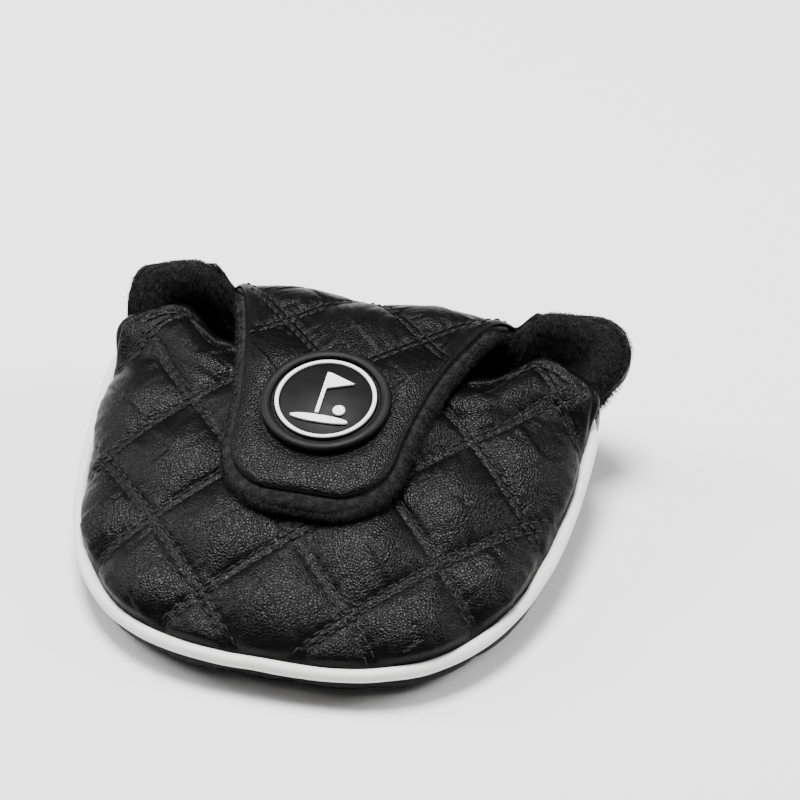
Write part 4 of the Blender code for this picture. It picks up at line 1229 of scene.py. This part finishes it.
@dataclass(frozen=True)
class Flap:
    """The tongue that folds over the mouth: quilted leather on a plush pad that stands out past it."""

    shop: Workshop
    quilting: Quilting = Quilting(shift=17.0 * MM, puff=1.7 * MM, reach=0.12)
    tip_y: float = -20.0 * MM
    tip_half_width: float = 20.0 * MM
    tip_corner: float = 13.0 * MM
    quilted_from: float = 6.0 * MM
    spread: float = 3.0
    bend_from: float = math.radians(24.0)
    bend_to: float = math.radians(58.0)
    pad_edge: float = 2.1 * MM
    pad_middle: float = 3.7 * MM
    pad_half: float = 2.25 * MM
    fibres: int = 80000
    fibre_length: float = 1.15 * MM
    wadding_inset: float = 2.5 * MM
    wadding_depth: float = 1.5 * MM
    badge_y: float = 6.0 * MM
    badge_radius: float = 16.0 * MM

    @property
    def flat(self) -> float:
        """Length from the tip to where the fold's arc starts."""
        return self.shop.form.fold_centre[0] - self.tip_y

    def until(self, above: float) -> float:
        """Length from the tip to where the fold's arc is this many degrees above its middle's level."""
        return self.flat + self.shop.form.fold_radius * math.radians(90.0 - above)

    def half_width(self, length: Array, edge: float) -> Array:
        """Half width at a length from the tip: tip + spread * length^2, with round corners at the tip."""
        width = np.minimum(self.tip_half_width + self.spread * np.maximum(length, 0.0) ** 2,
                           self.shop.form.fold_half_width)
        edge_here = edge * (1.0 - smooth((length - self.flat) / (9.0 * MM)))
        radius = self.tip_corner + edge
        into = np.clip(radius - length - edge, 0.0, radius)
        return width + edge_here - radius + np.sqrt(radius * radius - into * into)

    def at(self, x: Array, length: Array, depth: Array) -> Array:
        """A flap point, depth under the leather: on the crown's side a height, past it the fold's arc."""
        form = self.shop.form
        centre_y, centre_z = form.fold_centre
        turn = math.pi / 2.0 - np.maximum(length - self.flat, 0.0) / form.fold_radius
        radius = form.fold_radius - depth
        y = np.where(length < self.flat, self.tip_y + length, centre_y + radius * np.cos(turn))
        z = np.where(length < self.flat, form.tongue_z(x, self.tip_y + length) - depth,
                     centre_z + radius * np.sin(turn))
        return np.stack(np.broadcast_arrays(x + 0.0 * length, y, z), axis=-1)

    def lift(self, x: Array, length: Array) -> Array:
        """Quilting behind the badge, plain padding round it, flat under it and rounded down at the edge."""
        y = self.tip_y + length
        quilted = smooth((y - self.quilted_from) / (9.0 * MM))
        lift = mix(0.75 * self.quilting.puff, self.quilting.lift(x, y), quilted) - 0.5 * MM
        seat = smooth((np.hypot(x, y - self.badge_y) - self.badge_radius + 1.0 * MM) / (4.5 * MM))
        gone = np.minimum(self.half_width(length, 0.0) - np.abs(x), length)
        shoulder = quarter(gone / (2.2 * MM))
        soft = smooth(gone / (6.0 * MM))
        return mix(0.15 * MM, mix(0.2 * MM, lift, soft), seat) - 1.1 * MM * (1.0 - shoulder)

    def surface(self, x: Array, length: Array) -> Array:
        """The leather over (x, length from the tip)."""
        step = 0.5 * MM
        across = self.at(x + step, length, 0.0) - self.at(x - step, length, 0.0)
        ahead = self.at(x, length + step, 0.0) - self.at(x, length - step, 0.0)
        normal = unit(np.cross(across, ahead))
        return self.at(x, length, 0.0) + normal * self.lift(x, length)[..., None]

    def bend(self, piece: bpy.types.Object) -> None:
        """Bakes a piece's transform into its mesh."""
        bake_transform(piece)

    def finish(self, piece: bpy.types.Object, finish: Finish, *nodes: str) -> None:
        """Gives a piece that runs over the fold its finish and the CAD nodes that it stands for, and bakes
        its transform.
        """
        self.bend(self.shop.coat(piece, finish, *nodes))

    def leather(self) -> bpy.types.Object:
        """Rows from the tip over the fold to the wall; columns bunch up at the two edges."""
        last = self.until(16.0)
        corner = self.tip_corner * (1.0 - np.cos(np.linspace(0.0, math.pi / 2.0, 50)))
        length = np.concatenate([corner, np.linspace(self.tip_corner, last, 190)[1:]])[:, None]
        share = np.sin(np.linspace(-math.pi / 2.0, math.pi / 2.0, 190))[None, :]
        x = share * self.half_width(length, 0.0)
        points = self.surface(x, length + 0.0 * share)
        inside = points - np.array([0.0, 0.0, 0.03]) + np.array([0.0, -0.02, 0.0])
        return surface_piece("flap_leather", points, inside, thickness=1.1 * MM)

    def pad(self) -> tuple[Array, Array]:
        """Grids of the plush pad: the whole closed section, and its sides and underside for the pile.

        Section: x = W * |cos|^0.3, depth = middle - half * |sin|^0.62, closed at the tip as a quarter circle.
        """
        edge = self.pad_edge
        last = self.until(36.0)
        radius = self.tip_corner + edge
        corner = -edge + radius * (1.0 - np.cos(np.linspace(0.0, math.pi / 2.0, 46)))
        length = np.concatenate([corner, np.linspace(corner[-1], last, 110)[1:]])[:, None]

        def section(turn: Array) -> Array:
            """The section's ring at the given turns."""
            wide = self.half_width(length, edge)
            close = quarter((length + edge) / (2.4 * MM))
            wave = 1.0 + 0.06 * ripple(length, np.sign(np.cos(turn)), 13.0 * MM)
            x = (wide * signed_power(np.cos(turn), 0.3)) * (1.0 + 0.12 * (wave - 1.0))
            depth = self.pad_middle - self.pad_half * close * wave * signed_power(np.sin(turn), 0.62)
            return self.at(x, length + 0.0 * turn, depth)

        whole = section(np.linspace(0.0, math.tau, 121)[None, :-1])
        low = section(np.linspace(-math.pi - 0.5, 0.5, 90)[None, :])
        return whole, low

    def wadding(self) -> bpy.types.Object:
        """The foam between the leather and the plush, short of the edge."""
        inset = self.wadding_inset
        last = self.until(44.0)
        length = np.linspace(inset, last, 80)[:, None]
        share = np.linspace(-1.0, 1.0, 41)[None, :]
        points = self.at(share * self.half_width(length, -inset), length + 0.0 * share,
                         self.wadding_depth)
        return surface_piece("flap_wadding", points, points - np.array([0.0, 0.0, 0.1]), thickness=1.2 * MM)

    def build(self) -> None:
        """Makes and dresses the flap's leather, wadding, pad, pile and thread."""
        wadding = self.wadding()
        self.finish(wadding, Finish.FOAM, "flap_foam")
        leather = self.leather()
        self.finish(leather, Finish.LEATHER, "flap_shell")
        whole, low = self.pad()
        pad = surface_piece("flap_plush", whole, whole.mean(axis=1)[:, None], closed=True)
        self.finish(pad, Finish.PLUSH, "flap_lining")
        pile = pile_piece("flap_plush_pile", low, False, whole.mean(axis=1)[:, None].mean(axis=0),
                          self.fibres, self.fibre_length, 23)
        self.finish(pile, Finish.PLUSH)

        def keep(x: Array, y: Array) -> Array:
            """On the leather, clear of its edge and of the badge."""
            length = y - self.tip_y
            last = self.until(24.0)
            inside = (np.abs(x) < self.half_width(length, 0.0) - 1.8 * MM) & (length < last)
            inside = inside & (y > self.quilted_from + 4.0 * MM)
            return inside & (np.hypot(x, y - self.badge_y) > self.badge_radius + 1.0 * MM)

        thread = sew_rows("flap_quilt_stitches", self.quilting.stitches(keep), self.surface, self.tip_y)
        self.finish(thread, Finish.THREAD, "flap_quilt_thread_left_lower", "flap_quilt_thread_left_upper",
                    "flap_quilt_thread_right_lower", "flap_quilt_thread_right_upper")


# ------------------------------------------------------------------ badge

@dataclass(frozen=True)
class Badge:
    """The moulded badge: a rimmed disc with a stitched groove, a white ring and a golf flag."""

    shop: Workshop
    y: float = 6.0 * MM
    radius: float = 16.0 * MM
    height: float = 1.9 * MM
    face_radius: float = 12.7 * MM
    face_height: float = 1.3 * MM
    groove_radius: float = 13.15 * MM
    groove_height: float = 0.6 * MM
    rim_half: float = 1.2 * MM
    rim_rise: float = 0.55 * MM
    ring_inner: float = 11.55 * MM
    ring_outer: float = 12.5 * MM
    bevel: float = 0.15 * MM

    def placed(self, points: Array) -> Array:
        """Points on the badge's own plane put on the flap, tilted with it."""
        form = self.shop.form
        step = 2.0 * MM
        rise = float(form.tongue_z(0.0, self.y + step) - form.tongue_z(0.0, self.y - step))
        tilt = math.atan2(rise, 2.0 * step)
        seat = np.array([0.0, self.y, float(form.tongue_z(0.0, self.y))])
        axes = np.array([[1.0, 0.0, 0.0], [0.0, math.cos(tilt), math.sin(tilt)],
                         [0.0, -math.sin(tilt), math.cos(tilt)]])
        return seat + (points + np.array([0.0, 0.0, 0.45 * MM])) @ axes

    def turned(self, name: str, profile: list[tuple[float, float]], ring: bool = False) -> bpy.types.Object:
        """A turned piece from (radius, height) points, 128 steps round."""
        turn = np.linspace(0.0, math.tau, 129)[None, :-1]
        radius, height = np.array(profile).T[..., None]
        points = np.stack(np.broadcast_arrays(radius * np.cos(turn), radius * np.sin(turn), height), axis=-1)
        inside = np.stack(np.broadcast_arrays(radius.mean() * np.cos(turn), radius.mean() * np.sin(turn),
                                              height.mean() + 0.0 * height), axis=-1)
        if not ring:
            inside = np.broadcast_to(np.array([0.0, 0.0, height.mean()]), points.shape)
        return surface_piece(name, self.placed(points), self.placed(inside), closed=True, ring=ring)

    def build(self) -> None:
        """Makes and dresses the disc, the ring and the stitches, and dresses the CAD's inlays."""
        arc = np.radians(np.linspace(0.0, 180.0, 13))
        half, rise, bevel, groove = self.rim_half, self.rim_rise, self.bevel, self.groove_height
        soft = 0.1 * MM
        rim = [(self.radius - half - half * math.cos(a), self.height - rise + rise * math.sin(a))
               for a in arc]
        profile = [(0.0, self.face_height), (self.face_radius - bevel, self.face_height),
                   (self.face_radius, self.face_height - bevel), (self.face_radius, groove + soft),
                   (self.face_radius + soft, groove), (self.radius - 2.0 * half - soft, groove),
                   (self.radius - 2.0 * half, groove + soft), *rim, (self.radius, soft),
                   (self.radius - soft, 0.0), (0.0, 0.0)]
        self.shop.dress(self.turned("badge_disc", profile), Finish.RUBBER, Body.FLAP, "badge_base")
        low, high = self.face_height - soft, self.face_height + rise
        inner, outer = self.ring_inner, self.ring_outer
        ring = [(inner, low), (inner, high - bevel), (inner + bevel, high), (outer - bevel, high),
                (outer, high - bevel), (outer, low)]
        inlay = self.turned("badge_white_ring", ring, ring=True)
        self.shop.dress(inlay, Finish.INLAY, Body.FLAP, "badge_ring")
        turn = np.linspace(0.0, math.tau, 43)[:-1]
        centre = np.stack([np.cos(turn) * self.groove_radius, np.sin(turn) * self.groove_radius,
                           0.0 * turn + groove + bevel], axis=-1)
        centre = self.placed(centre)
        along = unit(np.roll(centre, -1, axis=0) - np.roll(centre, 1, axis=0))
        up = unit(self.placed(UP) - self.placed(np.zeros(3)))
        thread = stitch_piece("badge_stitches", centre, along, np.broadcast_to(up, along.shape), 1.5 * MM,
                              0.2 * MM)
        self.shop.dress(thread, Finish.THREAD, Body.FLAP, "badge_thread")
        for node in ("badge_flag", "badge_ball", "badge_green"):
            self.shop.dress_node(node, Finish.INLAY)


# ------------------------------------------------------------------ studio

@dataclass(frozen=True)
class Softbox:
    """A square soft light aimed at the cover."""

    name: str
    place: tuple[float, float, float]
    size: float
    power: float


SOFTBOXES = (
    Softbox("top_softbox", (-0.1, 0.15, 1.1), 0.4, 31.0),
    Softbox("left_softbox", (-0.9, 0.1, 0.7), 0.5, 12.0),
    Softbox("right_softbox", (0.9, 0.3, 0.7), 0.5, 12.0),
)


@dataclass(frozen=True)
class Studio:
    """A pale floor, soft lights and the camera."""

    azimuth: float = math.radians(13.5)
    elevation: float = math.radians(39.5)
    distance: float = 0.6
    target: tuple[float, float, float] = (0.012, 0.0334, 0.020)
    lens: float = 104.76
    sky: float = 0.08
    floor_reach: float = 3.0

    def aim(self, thing: bpy.types.Object, place: Vector, target: Vector) -> None:
        """Puts a camera or a light at a place, looking at a target."""
        thing.location = place
        thing.rotation_euler = (target - place).to_track_quat("-Z", "Y").to_euler()

    def light(self, softbox: Softbox) -> None:
        """Adds a soft light."""
        lamp = bpy.data.lights.new(softbox.name, "AREA")
        lamp.size = softbox.size
        lamp.energy = softbox.power
        thing = bpy.data.objects.new(softbox.name, lamp)
        bpy.context.scene.collection.objects.link(thing)
        self.aim(thing, Vector(softbox.place), Vector((0.0, 0.0, 0.02)))

    def build(self) -> None:
        """Makes the camera, the floor, the world and the lights."""
        camera = bpy.data.objects.new("camera", bpy.data.cameras.new("camera"))
        bpy.context.scene.collection.objects.link(camera)
        camera.data.lens = self.lens
        camera.data.sensor_width = 36.0
        camera.data.clip_start = 0.01
        level = math.cos(self.elevation)
        side, ahead = math.sin(self.azimuth) * level, -math.cos(self.azimuth) * level
        back = Vector((side, ahead, math.sin(self.elevation)))
        self.aim(camera, Vector(self.target) + back * self.distance, Vector(self.target))
        bpy.context.scene.camera = camera
        steps = np.linspace(-self.floor_reach, self.floor_reach, 9)
        x, y = np.meshgrid(steps, steps)
        floor = surface_piece("floor", np.stack([x, y, 0.0 * x], axis=-1), -UP)
        made, graph, shader, place = new_material("floor_paper")
        cloud = grouped(graph, mottle(), place, Patch=0.4)
        graph.tree.links.new(graph.blend(cloud.outputs["Value"], grey(0.9), grey(0.88)),
                             shader.inputs["Base Color"])
        shader.inputs["Roughness"].default_value = 0.9
        floor.data.materials.append(made)
        world = bpy.data.worlds.new("studio")
        world.use_nodes = True
        sky = world.node_tree.nodes["Background"]
        sky.inputs["Color"].default_value = grey(1.0)
        sky.inputs["Strength"].default_value = self.sky
        bpy.context.scene.world = world
        for softbox in SOFTBOXES:
            self.light(softbox)


def main() -> None:
    """Builds every sub-assembly in order."""
    logging.basicConfig(level=logging.INFO, format="%(name)s %(message)s")
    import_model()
    shop = Workshop(CoverForm.from_frame(), build_finishes())
    Studio().build()
    for assembly in (CrownPanel, SolePanel, FaceWall, Piping, Flap, Badge):
        assembly(shop).build()
    for group in ("crown", "flap"):
        for side in ("left", "right"):
            shop.dress_node(f"{group}_magnet_{side}", Finish.MAGNET)


if __name__ == "__main__":
    main()
